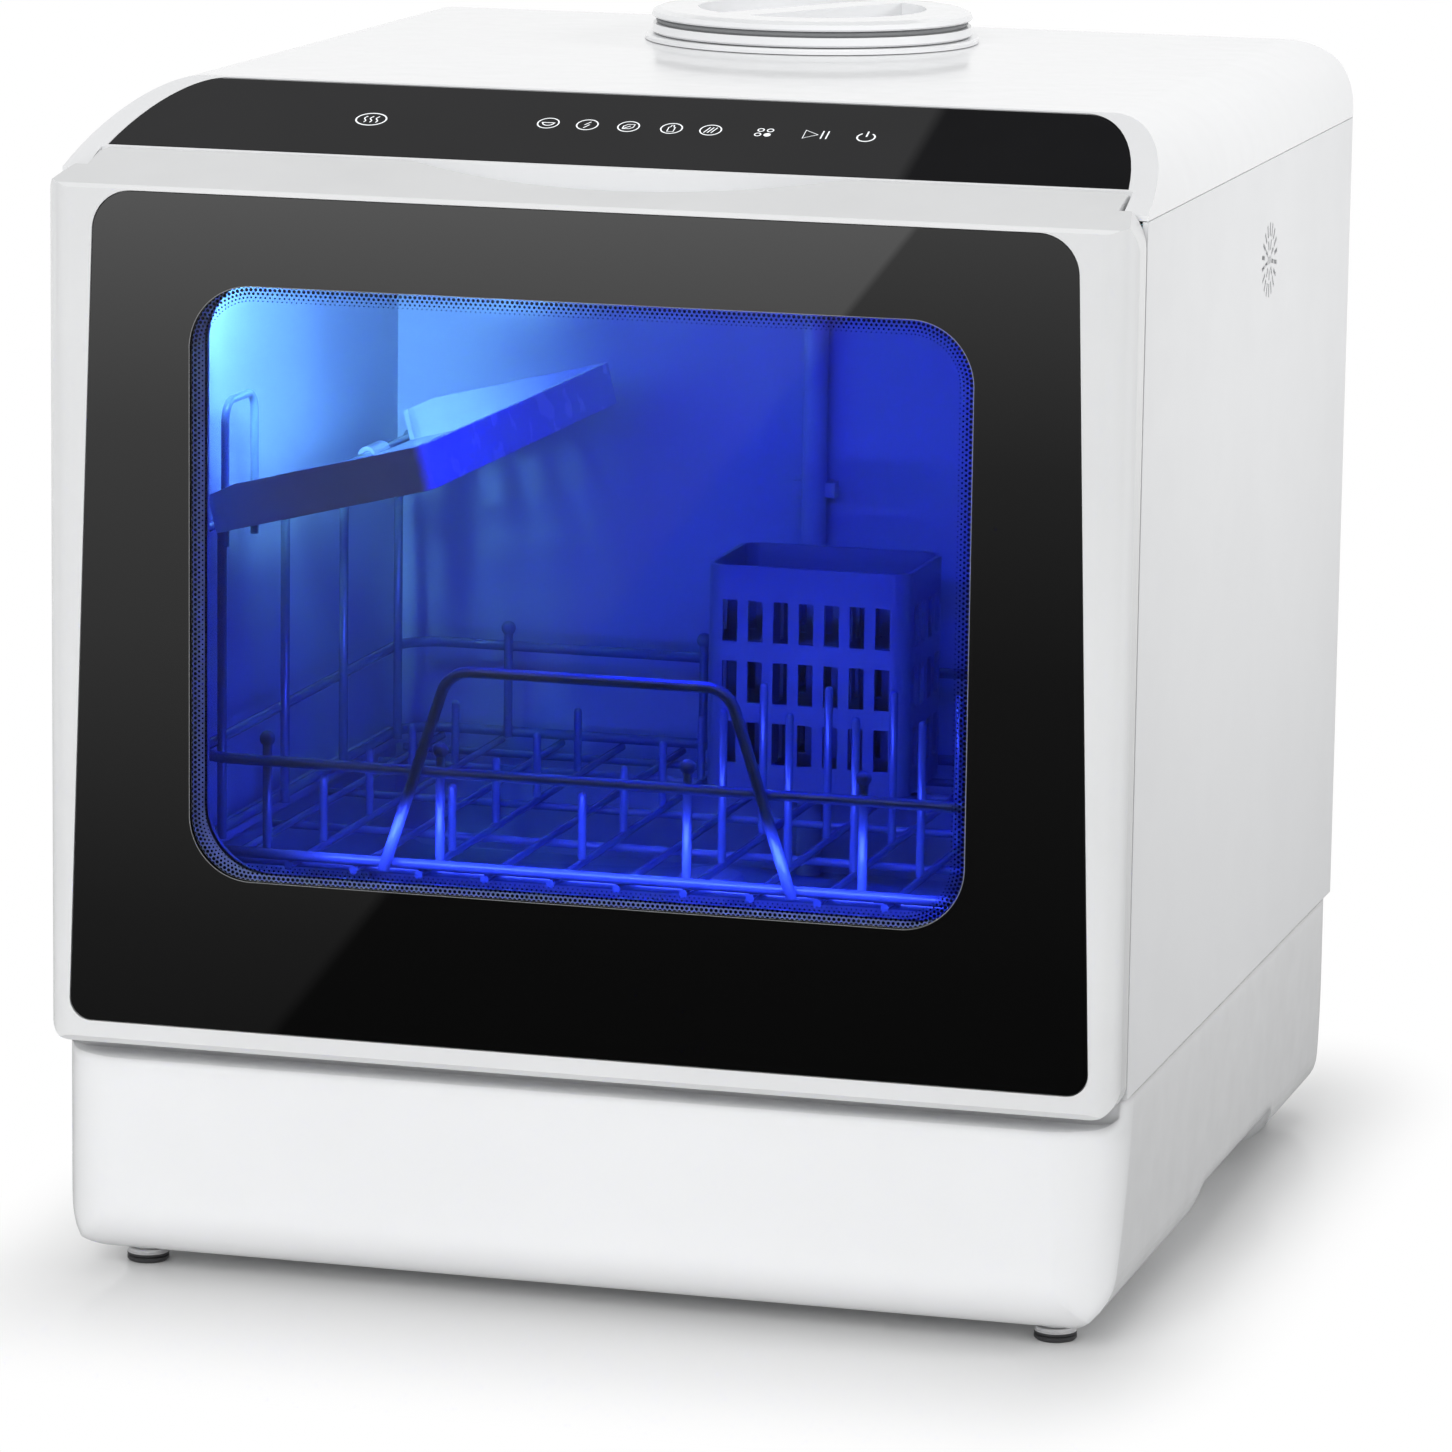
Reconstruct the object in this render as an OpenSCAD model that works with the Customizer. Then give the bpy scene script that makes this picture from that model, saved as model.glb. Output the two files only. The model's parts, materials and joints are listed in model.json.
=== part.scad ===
// Countertop dishwasher with a drop-down glass door, a wire rack, two spray arms,
// a built-in water tank with a twist cap on top, and a moulded base.
// +X is to the right, the front faces -Y, +Z is up and the feet stand on z = 0.

/* [Body] */
// Width of the body
body_w = 412; // [400:1:440]
// Depth from the door frame to the rear panel
body_depth = 420; // [412:1:450]
// Height of the flat top
body_h = 448; // [440:1:470]
// Wall of the moulded plastic shells
shell_t = 2.8; // [2:0.1:3.2]
// Thickness of the side and rear sheets
sheet_t = 2; // [1.2:0.1:2.6]
// Height of the feet
foot_h = 8; // [7:0.5:12]
// Height of the seam between the base and the side panels
seam_z = 95.5; // [93:0.5:99]
// Radius of the long top edges
cover_r = 30.5; // [26:0.5:34]
// Radius of the rear corners
rear_r = 14; // [8:1:20]
// Radius of the lower front edge of the base
base_r = 22; // [14:1:26]
// Radius of the long curve down each side of the base
base_bow = 900; // [600:20:1400]
// Radius of the lower side edges of the base
base_edge_r = 22; // [16:1:26]
// Radius of the upright corners of the base
base_corner_r = 30; // [22:1:34]
// Gap between seated pieces
seat_gap = 0.3; // [0.2:0.05:0.5]
// Reach of the rear connectors behind the rear panel
spigot_out = 4; // [2:1:10]

/* [Control panel] */
// Length of the sloped panel, front to back
slope_run = 56.6; // [50:0.2:64]
// Drop of the sloped panel
slope_drop = 22; // [16:0.5:26]
// Thickness of the glossy panel
panel_t = 2.4; // [1.6:0.1:3]
// Width of white cover left beside the glossy panel
panel_margin = 10; // [6:0.5:14]

/* [Door] */
// Thickness of the door frame
door_t = 20; // [18:0.5:22]
// Gap between the door and the base
door_gap = 6; // [5:0.5:9]
// White frame above the black glass, up to the flat top
glass_drop = 34; // [33:0.5:44]
// White frame beside the glass along its top edge
glass_top_side = 20.5; // [16:0.5:30]
// White frame beside the glass along its bottom edge
glass_bottom_side = 10; // [8:0.5:16]
// Thickness of the glass
glass_t = 3.2; // [2.4:0.1:4]
// Black border beside the clear window
window_side = 57.5; // [56:0.5:70]
// Black border above the clear window
window_top = 33; // [33:0.5:50]
// Corner radius of the clear window
window_r = 24; // [14:1:34]
// Height of the window above the lower edge of the glass
window_up = 57; // [50:1:60]
// Radius of the upright door edges
door_edge_r = 11; // [6:1:14]
// Height of the hinge pin above the lower door edge
hinge_up = 8.5; // [8:0.5:9]
// Distance of the hinge pin behind the door front
hinge_back = 12; // [11.5:0.1:12.2]
// Radius of the hinge pin
pin_r = 2.5; // [2:0.1:3]
// Running clearance of pins and shafts
run_fit = 0.06; // [0.03:0.01:0.09]

/* [Tub] */
// Space beside the tub, on each side
side_space = 25; // [24:0.5:30]
// Space behind the tub and in front of it, for the tank and the door
works_space = 110; // [108:1:120]
// Height of the tub floor
tub_floor_z = 102; // [100:1:104]
// Space between the tub roof and the flat top, for the tank
roof_space = 56; // [54:0.5:60]
// Wall of the tub
tub_t = 2; // [1.5:0.1:2.4]

/* [Rack] */
// Space between the tub wall and the middle of the rack's rail
rack_side = 10; // [10:0.5:16]
// Space in front of the rack and behind it together
rack_ends = 42; // [40:1:60]
// Height of the lower rail
rail_z = 156; // [154:1:160]
// Distance between the lower and the upper rail
rail_step = 36; // [28:1:44]
// Radius of the rail wire
rail_r = 2.1; // [1.8:0.1:2.4]
// Radius of the floor wire
wire_r = 1.6; // [1.3:0.1:1.8]
// Number of floor wires from front to back
floor_wires = 13; // [9:2:15]
// Height of the plate tines
tine_h = 58; // [40:1:70]
// Height of the handle loop above the lower rail
handle_h = 76; // [60:1:84]

/* [Cup shelf] */
// Width of the shelf
shelf_w = 96; // [80:1:100]
// Drop of the shelf hinge wire below the tub roof
shelf_drop = 114; // [107:1:127]
// Upward tilt of the shelf
shelf_tilt = 14; // [6:1:20]
// Depth of the shelf apron
apron_h = 17; // [9:1:17]

/* [Cutlery basket] */
// Width of the basket
basket_w = 84; // [60:1:92]
// Depth of the basket
basket_d = 60; // [50:1:62]
// Height of the basket
basket_h = 90; // [70:1:100]
// Wall of the basket
basket_t = 1.8; // [1.4:0.1:2.2]

/* [Spray arms] */
// Gap between the lower arm's tip and the tub wall
low_arm_gap = 41; // [39:1:60]
// Gap between the upper arm's tip and the tub wall
up_arm_gap = 59; // [57:1:80]
// Radius of the lower arm post
post_r = 9; // [7:0.5:10]

/* [Tank and cap] */
// Radius of the cap
cap_r = 64.5; // [60:0.5:66]
// Distance of the cap centre behind the middle
cap_y = 113; // [100:1:118]
// Depth of the scoops in the cap
scoop_d = 12; // [8:0.5:13]
// Width of the grip bar across the cap
grip_w = 15; // [10:0.5:20]

/* [Side vent] */
// Radius of the outer ring of slots
vent_r = 14.5; // [12:0.5:16]
// Number of slots in the outer ring
vent_slots = 18; // [12:1:20]
// Width of one slot
slot_w = 1.5; // [1:0.1:1.6]

/* [Hidden] */
$fn = 48;
eps = 0.01;

hw = body_w / 2;
front = -(body_depth + spigot_out) / 2;
back = front + body_depth;
door_back = front + door_t;
side_front = door_back + 1.6;
cover_z = body_h - cover_r;
door_z0 = seam_z - 3.5;
shelf_top = door_z0 - door_gap;
axis_y = front + hinge_back;
axis_z = door_z0 + hinge_up;

// the slope of the top cover
slope_y1 = front + 95;
slope_y0 = slope_y1 - slope_run;
slope_z0 = body_h - slope_drop;
slope_k = slope_drop / slope_run;
slope_len = norm([slope_run, slope_drop]);
slope_u = [slope_run / slope_len, slope_drop / slope_len];
slope_n = [-slope_u[1], slope_u[0]];
cheek_in = hw - 9.3;
tub_w = body_w - 2 * side_space;
tub_depth = body_depth - works_space;
tub_roof_z = body_h - roof_space;
rack_w = tub_w - 2 * rack_side;
rack_depth = tub_depth - rack_ends;
shelf_z = tub_roof_z - shelf_drop;
low_arm_r = tub_w / 2 - low_arm_gap;
up_arm_r = tub_w / 2 - up_arm_gap;
panel_r = cover_r - 0.5;

// the door
lip = 0.4;
mask_t = 0.4;
glass_z0 = door_z0 + 9;
glass_h = body_h - glass_drop - glass_z0;
glass_top_w = body_w - 2 * glass_top_side;
glass_bottom_w = body_w - 2 * glass_bottom_side;
window_w = body_w - 2 * window_side;
window_h = glass_h - window_up - window_top;
glass_z1 = glass_z0 + glass_h;
lip_z = glass_z1 + 2.2;
top_back_y = slope_y0 - 1.4;
top_back_z = slope_z0 - 0.4;
glass_y = front + lip;
recess_y = glass_y + glass_t + mask_t;
pocket_y = recess_y + 4;
window_z0 = glass_z0 + window_up;
window_z1 = window_z0 + window_h;
window_zc = (window_z0 + window_z1) / 2;
frame_margin = 3.5;
flange_y = front + 34;
seal_d = 5.8;
liner_back = flange_y - seal_d - 0.5;
liner_hw = tub_w / 2 + 11;
liner_z0 = axis_z + 0.6;
step_z = tub_roof_z + 4.5;
liner_z1 = step_z - 0.5;
liner_t = 2.5;
ext_z = step_z + 1.5;
pane_t = 3;

// the tub
tub_y0 = flange_y + 2;
tub_y1 = tub_y0 + tub_depth;
sill_z = tub_floor_z + 16;
mouth_z = tub_roof_z - 6;
tub_r = 16;
arm_y = -20;

// the rack
rack_y0 = tub_y0 + 26;
rack_y1 = rack_y0 + rack_depth;
rack_x = rack_w / 2;
up_z = rail_z + rail_step;
rail_bend = 18;
weld = 0.6;
long_z = rail_z - rail_r - wire_r - 0.1;
cross_z = long_z - 2 * wire_r + 0.8;
wire_step = (rack_w - 30) / (floor_wires - 1);
hinge_x = -rack_x + rail_r + wire_r - weld;
hinge_wire_r = 2;
basket_x = 20;
basket_y = rack_y1 - basket_d / 2 - 14;
basket_z = long_z + wire_r + seat_gap;

// the tank and the cap
tank_top = body_h - 10;
tank_roof = tub_roof_z + tub_t + seat_gap;
plug_r = cap_r - 13.5;
flange_z = body_h + 2.8;
cap_top = body_h + 13;

module rr2(w, h, r) {
  union() {
    square([w - 2 * r, h], center = true);
    square([w, h - 2 * r], center = true);
    for (sx = [-1, 1], sy = [-1, 1])
      translate([sx * (w / 2 - r), sy * (h / 2 - r)]) circle(r = r);
  }
}

// extrudes a front-view drawing from depth y0 to y1
module slab_xz(y0, y1) {
  translate([0, y1, 0]) rotate([90, 0, 0]) linear_extrude(height = y1 - y0) children();
}

// extrudes a side-view drawing from x0 to x1
module slab_yz(x0, x1) {
  translate([x0, 0, 0]) rotate([90, 0, 90]) linear_extrude(height = x1 - x0) children();
}

// a plate outline with straight leaning sides and four round corners
module taper_outline(wb, wt, z0, z1, rb, rt) {
  k = (wb - wt) / 2 / (z1 - z0);
  s = sqrt(1 + k * k);
  xt = wt / 2 + rt * k - rt * s;
  xb = wb / 2 - rb * k - rb * s;
  difference() {
    polygon([[-wb / 2, z0], [wb / 2, z0], [wt / 2, z1], [-wt / 2, z1]]);
    for (m = [-1, 1]) {
      difference() {
        polygon([[m * xt, z1 - rt], [m * xt, z1 + 1], [m * (wt / 2 + 2), z1 + 1],
          [m * (xt + (rt + 1) / s), z1 - rt + (rt + 1) * k / s]]);
        translate([m * xt, z1 - rt]) circle(r = rt + 0.01);
      }
      difference() {
        polygon([[m * xb, z0 + rb], [m * xb, z0 - 1], [m * (wb / 2 + 2), z0 - 1],
          [m * (xb + (rb + 1) / s), z0 + rb + (rb + 1) * k / s]]);
        translate([m * xb, z0 + rb]) circle(r = rb + 0.01);
      }
    }
  }
}

// a wire or rod from point p to point q
module bar(p, q, r) {
  v = q - p;
  l = norm(v);
  translate(p) rotate([0, acos(v[2] / l), atan2(v[1], v[0])]) cylinder(h = l, r = r);
}

// a quarter bend of wire in the XY plane
module bend(bend_r, r, from) {
  rotate([0, 0, from]) rotate_extrude(angle = 90) translate([bend_r, 0]) circle(r = r);
}

// a closed rectangular rail lying flat at height z
module rail_loop(x, y0, y1, z, b, r) {
  bar([-x + b, y0, z], [x - b, y0, z], r);
  bar([-x + b, y1, z], [x - b, y1, z], r);
  bar([-x, y0 + b, z], [-x, y1 - b, z], r);
  bar([x, y0 + b, z], [x, y1 - b, z], r);
  translate([x - b, y1 - b, z]) bend(b, r, 0);
  translate([-x + b, y1 - b, z]) bend(b, r, 90);
  translate([-x + b, y0 + b, z]) bend(b, r, 180);
  translate([x - b, y0 + b, z]) bend(b, r, 270);
}

// plan outline with square front corners and round rear corners
module rear_plan(x, y0, y1, r) {
  union() {
    translate([-x, y0]) square([2 * x, y1 - r - y0]);
    translate([-x + r, y0]) square([2 * x - 2 * r, y1 - y0]);
    for (m = [-1, 1]) translate([m * (x - r), y1 - r]) circle(r = r);
  }
}

// front-view outline with round top corners
module arch_outline(x, z0, z1, r) {
  union() {
    if (z1 - r > z0) translate([-x, z0]) square([2 * x, z1 - r - z0]);
    translate([-x + r, z0]) square([2 * x - 2 * r, z1 - z0]);
    for (m = [-1, 1]) translate([m * (x - r), z1 - r]) circle(r = r);
  }
}

// ---------- base ----------

bow_z = foot_h + base_edge_r;
bow_rise = seam_z - bow_z;
bow_x = hw - base_bow + sqrt(pow(base_bow - base_edge_r, 2) - pow(bow_rise, 2));
bow_a = asin(bow_rise / (base_bow - base_edge_r));
bow_steps = 8;

// right side of the base seen from the front: a tight lower curve, then a long slow one
function base_curve(o) = concat(
  [for (i = [0:bow_steps]) let (a = -90 + (90 - bow_a) * i / bow_steps)
    [bow_x + (base_edge_r - o) * cos(a), bow_z + (base_edge_r - o) * sin(a)]],
  [for (i = [1:bow_steps]) let (a = -bow_a + bow_a * i / bow_steps)
    [hw - base_bow + (base_bow - o) * cos(a), seam_z + (base_bow - o) * sin(a)]],
  [[hw - o, seam_z + 5]]);

module base_front_outline(o) {
  right = base_curve(o);
  polygon(concat(right, [for (i = [len(right) - 1:-1:0]) [-right[i][0], right[i][1]]]));
}

module base_side_outline(o) {
  y0 = front + 4 + o;
  y1 = back - o;
  rf = base_r - 2 - o;
  rb = rear_r - o;
  zb = foot_h + o;
  union() {
    polygon([[y0, seam_z + 5], [y0 + 1.2, zb + rf], [y0 + 1.2 + rf, zb], [y1 - rb, zb],
      [y1, zb + rb], [y1, seam_z + 5]]);
    translate([y0 + 1.2 + rf, zb + rf]) circle(r = rf);
    translate([y1 - rb, zb + rb]) circle(r = rb);
  }
}

module base_form(o) {
  intersection() {
    slab_xz(front, back + 1) base_front_outline(o);
    slab_yz(-hw, hw) base_side_outline(o);
    translate([0, (front + 4 + back) / 2, 0]) linear_extrude(height = seam_z + 5)
      rr2(body_w - 2 * o, body_depth - 4 - 2 * o, base_corner_r - o);
  }
}

lip_r = seam_z - shelf_top;
grip_y = 29;
grip_l = 146;
grip_top = foot_h + 19;
grip_in = hw - 27;
bay_x = 120;
bay_w = 128;
bay_z = 52;
bay_h = 46;
bay_y = back - 13;
arm_slot = 6.4;
arm_x = hw - 16.5;

module base_housing() color("white") difference() {
  union() {
    difference() {
      base_form(0);
      intersection() {
        base_form(shell_t);
        union() {
          translate([-hw, side_front + 10, 0]) cube([body_w, body_depth, seam_z + 6]);
          translate([-hw, front, 0]) cube([body_w, body_depth, shelf_top - shell_t]);
        }
      }
    }
    intersection() {
      base_form(0);
      union() {
        for (m = [-1, 1]) mirror([m < 0 ? 1 : 0, 0, 0])
          slab_yz(grip_in - shell_t, hw) translate([grip_y, foot_h])
            rr2(grip_l + 2 * shell_t, 2 * (grip_top - foot_h + shell_t), 12 + shell_t);
        translate([bay_x - bay_w / 2 - shell_t, bay_y - shell_t, bay_z - bay_h / 2 - shell_t])
          cube([bay_w + 2 * shell_t, 20, bay_h + 2 * shell_t]);
      }
    }
    for (m = [-1, 1]) translate([m * (hw - 44) - 5.5, front + 5.5, shelf_top - 0.5])
      cube([11, 5, 2.3]);
  }
  for (m = [-1, 1]) mirror([m < 0 ? 1 : 0, 0, 0])
    slab_yz(grip_in, hw + 1) translate([grip_y, foot_h - 1])
      rr2(grip_l, 2 * (grip_top - foot_h + 1), 12);
  translate([bay_x, back + 1, bay_z]) rotate([90, 0, 0])
    linear_extrude(height = back + 1 - bay_y) rr2(bay_w, bay_h, 8);
  for (c = conn) translate([c[0], bay_y - shell_t - 1, bay_z]) rotate([-90, 0, 0])
    cylinder(h = shell_t + 2, r = c[1] + 1.7);
  slab_xz(front, side_front) union() {
    translate([-hw + lip_r, shelf_top]) square([body_w - 2 * lip_r, 20]);
    translate([-hw, shelf_top + lip_r]) square([body_w, 20]);
    for (m = [-1, 1]) translate([m * (hw - lip_r), shelf_top + lip_r]) circle(r = lip_r);
  }
  translate([-hw - 1, side_front - 1, seam_z]) cube([body_w + 2, body_depth, 20]);
  for (i = [-4:4], j = [0, 1]) translate([i * 26 - 4, -130 + j * 150, foot_h - 1])
    cube([8, 60, shell_t + 2]);
  for (p = feet) translate([p[0], p[1], foot_h - 1]) cylinder(h = shell_t + 2, r = 3.2);
}

conn = [[bay_x + 39, 13.2], [bay_x - 2, 9.5], [bay_x - 42, 8]];
foot_x = hw - 28;
feet = [[-foot_x, front + 36], [foot_x, front + 36], [-foot_x, back - 34], [foot_x, back - 34]];
tray_z = foot_h + shell_t + seat_gap;
tray_top = tray_z + 1.6;

module pump_tray() color("silver") difference() {
  translate([0, 0, tray_z]) linear_extrude(height = 1.6)
    rr2(2 * (hw - 44), body_depth - 90, 12);
  for (i = [-4:4], j = [0, 1]) translate([i * 26 - 3, -126 + j * 150, tray_z - 1])
    cube([6, 52, 4]);
}

module foot_stems() color("white") for (p = feet) translate([p[0], p[1], 0]) {
  translate([0, 0, 5.2]) cylinder(h = foot_h - 5.2, r1 = 5.6, r2 = 8.4);
  translate([0, 0, foot_h - 0.5]) cylinder(h = shell_t + 4, r = 3);
}

module foot_pads() color("dimgray") for (p = feet) translate([p[0], p[1], 0])
  rotate_extrude() polygon([[0, 0], [7.2, 0], [8, 0.8], [8, 1.8], [7.3, 2.2], [8, 2.6],
    [8, 3.6], [7.3, 4], [7.3, 5], [0, 5]]);

// ---------- panels ----------

module side_sheet() {
  difference() {
    translate([0, 0, seam_z + seat_gap]) linear_extrude(height = cover_z - seam_z - 2 * seat_gap)
      intersection() {
        difference() {
          rear_plan(hw, side_front, back, rear_r);
          rear_plan(hw - sheet_t, side_front - 1, back - sheet_t, rear_r - sheet_t);
        }
        translate([hw - 26, side_front - 1]) square([30, body_depth]);
      }
  }
}

module left_side_panel() color("white") mirror([1, 0, 0]) side_sheet();

vent_y = 31;
vent_z = 378;
module vent_cuts() translate([0, vent_y, vent_z]) {
  for (i = [0:vent_slots - 1]) rotate([360 / vent_slots * i, 0, 0])
    translate([-1, -slot_w / 2, vent_r - 5.2]) cube([4, slot_w, 5.2]);
  for (i = [0:8]) rotate([40 * i + 20, 0, 0])
    translate([-1, -slot_w / 2, 4]) cube([4, slot_w, 4]);
  for (i = [-1:1]) translate([-1, i * 2.4 - 0.5, -1.5]) cube([4, 1, 3]);
}

module right_side_panel() color("white") difference() {
  side_sheet();
  translate([hw - sheet_t - 0.5, 0, 0]) vent_cuts();
}

rear_hw = hw - 26 - seat_gap;
screws = [[-rear_hw + 8, seam_z + 12], [rear_hw - 8, seam_z + 12], [-rear_hw + 8, cover_z - 12],
  [rear_hw - 8, cover_z - 12], [0, seam_z + 12], [0, cover_z - 12]];
module rear_panel() color("white") difference() {
  translate([-rear_hw, back - sheet_t, seam_z + seat_gap])
    cube([2 * rear_hw, sheet_t, cover_z - seam_z - 2 * seat_gap]);
  for (i = [-5:5], j = [0:2]) translate([i * 16 - 2 - 60, back - sheet_t - 1, 150 + j * 34])
    cube([4, sheet_t + 2, 24]);
  for (s = screws) translate([s[0], back - sheet_t - 1, s[1]]) rotate([-90, 0, 0])
    cylinder(h = sheet_t + 2, r = 1.8);
  for (i = [-1, 1]) slab_xz(back - 0.8, back + 1) translate([i * 110, 330]) rr2(90, 60, 8);
}

screw_in = 4.2;
module rear_screws() color("gray") for (s = screws) translate([s[0], back - sheet_t - screw_in, s[1]])
  rotate([-90, 0, 0]) difference() {
    union() {
      cylinder(h = sheet_t + screw_in + 0.1, r = 1.6);
      translate([0, 0, sheet_t + screw_in + 0.1]) cylinder(h = 1.6, r1 = 3.6, r2 = 2.6);
    }
    translate([-0.5, -2, sheet_t + screw_in + 1]) cube([1, 4, 2]);
    translate([-2, -0.5, sheet_t + screw_in + 1]) cube([4, 1, 2]);
  }

// ---------- top cover and controls ----------

function slope_at(s, d) = [slope_y0, slope_z0] + s * slope_u + d * slope_n;

module cover_side_outline(o, so, y0, z0) {
  zs = slope_z0 - (slope_y0 - y0) * slope_k - so / slope_u[0];
  r = rear_r - o;
  yb = back - o;
  zt = body_h - o;
  yk = slope_y1 - (o - so / slope_u[0]) / slope_k;
  union() {
    polygon([[y0, z0], [yb - r, z0], [yb - r, zt], [yk, zt], [y0, zs]]);
    translate([yb - r - 1, z0]) square([r + 1, zt - r - z0]);
    translate([yb - r, zt - r]) circle(r = r);
  }
}

module cover_form(o, so, y0, z0) {
  intersection() {
    slab_xz(y0, back) arch_outline(hw - o, z0, body_h - o, cover_r - o);
    slab_yz(-hw, hw) cover_side_outline(o, so, y0, z0);
    translate([0, 0, z0]) linear_extrude(height = body_h) rear_plan(hw - o, y0, back - o, rear_r - o);
  }
}

module panel_slab(d0, d1, s0, s1, c) {
  intersection() {
    slab_yz(-hw, hw) polygon([slope_at(s0, d0), slope_at(s1, d0), slope_at(s1, d1), slope_at(s0, d1)]);
    slab_xz(front, back) arch_outline(hw - panel_margin - c, cover_z - 20, body_h - 0.5 - c, panel_r - c);
  }
}

collar_r = plug_r + 8.4;
module top_cover() color("white") difference() {
  cover_form(0, 0, side_front, cover_z);
  cover_form(shell_t, shell_t + panel_t, slope_y0 + shell_t, cover_z - 1);
  translate([-cheek_in, side_front - 5, cover_z - 5])
    cube([2 * cheek_in, slope_y0 - side_front + 5, cover_r + 10]);
  panel_slab(-panel_t, 5, 1.2, slope_len - 1.2, 0);
  translate([0, cap_y, cover_z]) cylinder(h = cover_r + 5, r = collar_r + seat_gap);
}

module control_panel() color("black") panel_slab(seat_gap - panel_t, 0.15, 1.5, slope_len - 1.5, seat_gap);

board_d = shell_t + panel_t + seat_gap;
module control_board() color("darkgreen") {
  slab_yz(-150, 150) polygon([slope_at(12, -board_d - 1.6), slope_at(slope_len - 8, -board_d - 1.6),
    slope_at(slope_len - 8, -board_d), slope_at(12, -board_d)]);
  for (x = [-120, -36, -20, -4, 12, 28, 50, 72, 94])
    slab_yz(x - 3, x + 3) polygon([slope_at(26, -board_d - 6), slope_at(34, -board_d - 6),
      slope_at(34, -board_d - 1.5), slope_at(26, -board_d - 1.5)]);
}

// ---------- tub ----------

filter_x = 70;
filter_y = 50;
filter_r = 28;
module tub_box(o) {
  slab_xz(tub_y0 - (o > 0 ? 0 : 1), tub_y1 + o) translate([0, (tub_floor_z + tub_roof_z) / 2])
    rr2(tub_w + 2 * o, tub_roof_z - tub_floor_z + 2 * o, tub_r + o);
}

module tub() color("lightgray") difference() {
  tub_box(tub_t);
  tub_box(0);
  translate([filter_x, filter_y, tub_floor_z - tub_t - 1]) cylinder(h = tub_t + 2, r = filter_r + run_fit);
  translate([0, arm_y, tub_floor_z - tub_t - 1]) cylinder(h = tub_t + 2, r = post_r);
  translate([0, tub_y1 - 5.3, tub_floor_z - tub_t - 1]) cylinder(h = tub_t + 2, r = 4);
  for (i = [0:5]) translate([tub_w / 2 - 1, vent_y, vent_z - 6]) rotate([60 * i, 0, 0])
    translate([0, 7, 0]) rotate([0, 90, 0]) cylinder(h = tub_t + 2, r = 2.2);
}

mouth_h = mouth_z - sill_z;
module mouth(o) translate([0, (sill_z + mouth_z) / 2]) rr2(tub_w - 2 + 2 * o, mouth_h + 2 * o, tub_r - 2 + o);

latch_z = step_z + 8;
module tub_flange() color("white") difference() {
  union() {
    translate([-hw + sheet_t + 1.5, flange_y, shelf_top + seat_gap])
      cube([2 * (hw - sheet_t - 1.5), 2 - seat_gap, step_z - shelf_top - seat_gap]);
    translate([-cheek_in - 2, flange_y, step_z - 2])
      cube([2 * cheek_in + 4, slope_y0 + 1 - flange_y, 2]);
    translate([-cheek_in - 2, slope_y0 - 1, step_z - 2])
      cube([2 * cheek_in + 4, 2, cover_z - step_z + 2 - seat_gap]);
  }
  slab_xz(flange_y - 1, flange_y + 3) mouth(0);
  for (m = [-1, 1]) translate([m * arm_x - arm_slot / 2, flange_y - 1, shelf_top - 1])
    cube([arm_slot, 4, axis_z + 6 - shelf_top]);
  translate([-20, slope_y0 - 2, latch_z - 4]) cube([40, 5, 13]);
}

module door_seal() color("dimgray") difference() {
  slab_xz(flange_y - seal_d, flange_y - seat_gap) mouth(8.5);
  slab_xz(flange_y - seal_d - 1, flange_y) mouth(1);
  difference() {
    slab_xz(flange_y - seal_d + 2, flange_y - 2) mouth(6.8);
    slab_xz(flange_y - seal_d, flange_y) mouth(4);
  }
}

ledge_z = rail_z - rail_r - seat_gap;
module rack_ledges() color("lightgray") for (m = [-1, 1]) mirror([m < 0 ? 1 : 0, 0, 0])
  slab_xz(tub_y0 + 6, tub_y1 - 12) polygon([
    [tub_w / 2 - seat_gap, ledge_z - 9], [tub_w / 2 - 2, ledge_z - 9],
    [tub_w / 2 - 3, ledge_z - 3], [rack_x - 0.6, ledge_z - 3],
    [rack_x - 0.6, ledge_z], [tub_w / 2 - seat_gap, ledge_z]]);

// ---------- water works under the tub ----------

sump_top = tub_floor_z - tub_t - seat_gap;
sump_bot = foot_h + 29;
module sump_housing() color("slategray") difference() {
  union() {
    translate([filter_x, filter_y, sump_bot]) cylinder(h = sump_top - sump_bot, r = filter_r + 6);
    translate([0, arm_y, sump_bot]) cylinder(h = sump_top - sump_bot, r = post_r + 8);
    translate([0, arm_y, sump_bot]) rotate([0, 0, 45]) translate([0, -9, 0]) cube([90, 18, 22]);
    for (p = [[filter_x, filter_y], [0, arm_y]])
      translate([p[0], p[1], tray_top + seat_gap]) cylinder(h = sump_bot - tray_top, r = 8);
  }
  translate([filter_x, filter_y, sump_bot + 3]) cylinder(h = sump_top, r = filter_r + run_fit);
  translate([0, arm_y, sump_top - 14]) cylinder(h = 20, r = post_r - 0.8);
}

post_top = tub_floor_z + 24.7;
module spray_post() color("gray") {
  translate([0, arm_y, tub_floor_z + seat_gap]) cylinder(h = 9.4, r = post_r + 3.5);
  translate([0, arm_y, tub_floor_z + 9]) cylinder(h = post_top - tub_floor_z - 9, r = post_r);
  translate([0, arm_y, sump_top - 13]) cylinder(h = 18, r = post_r - 1);
}

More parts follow.
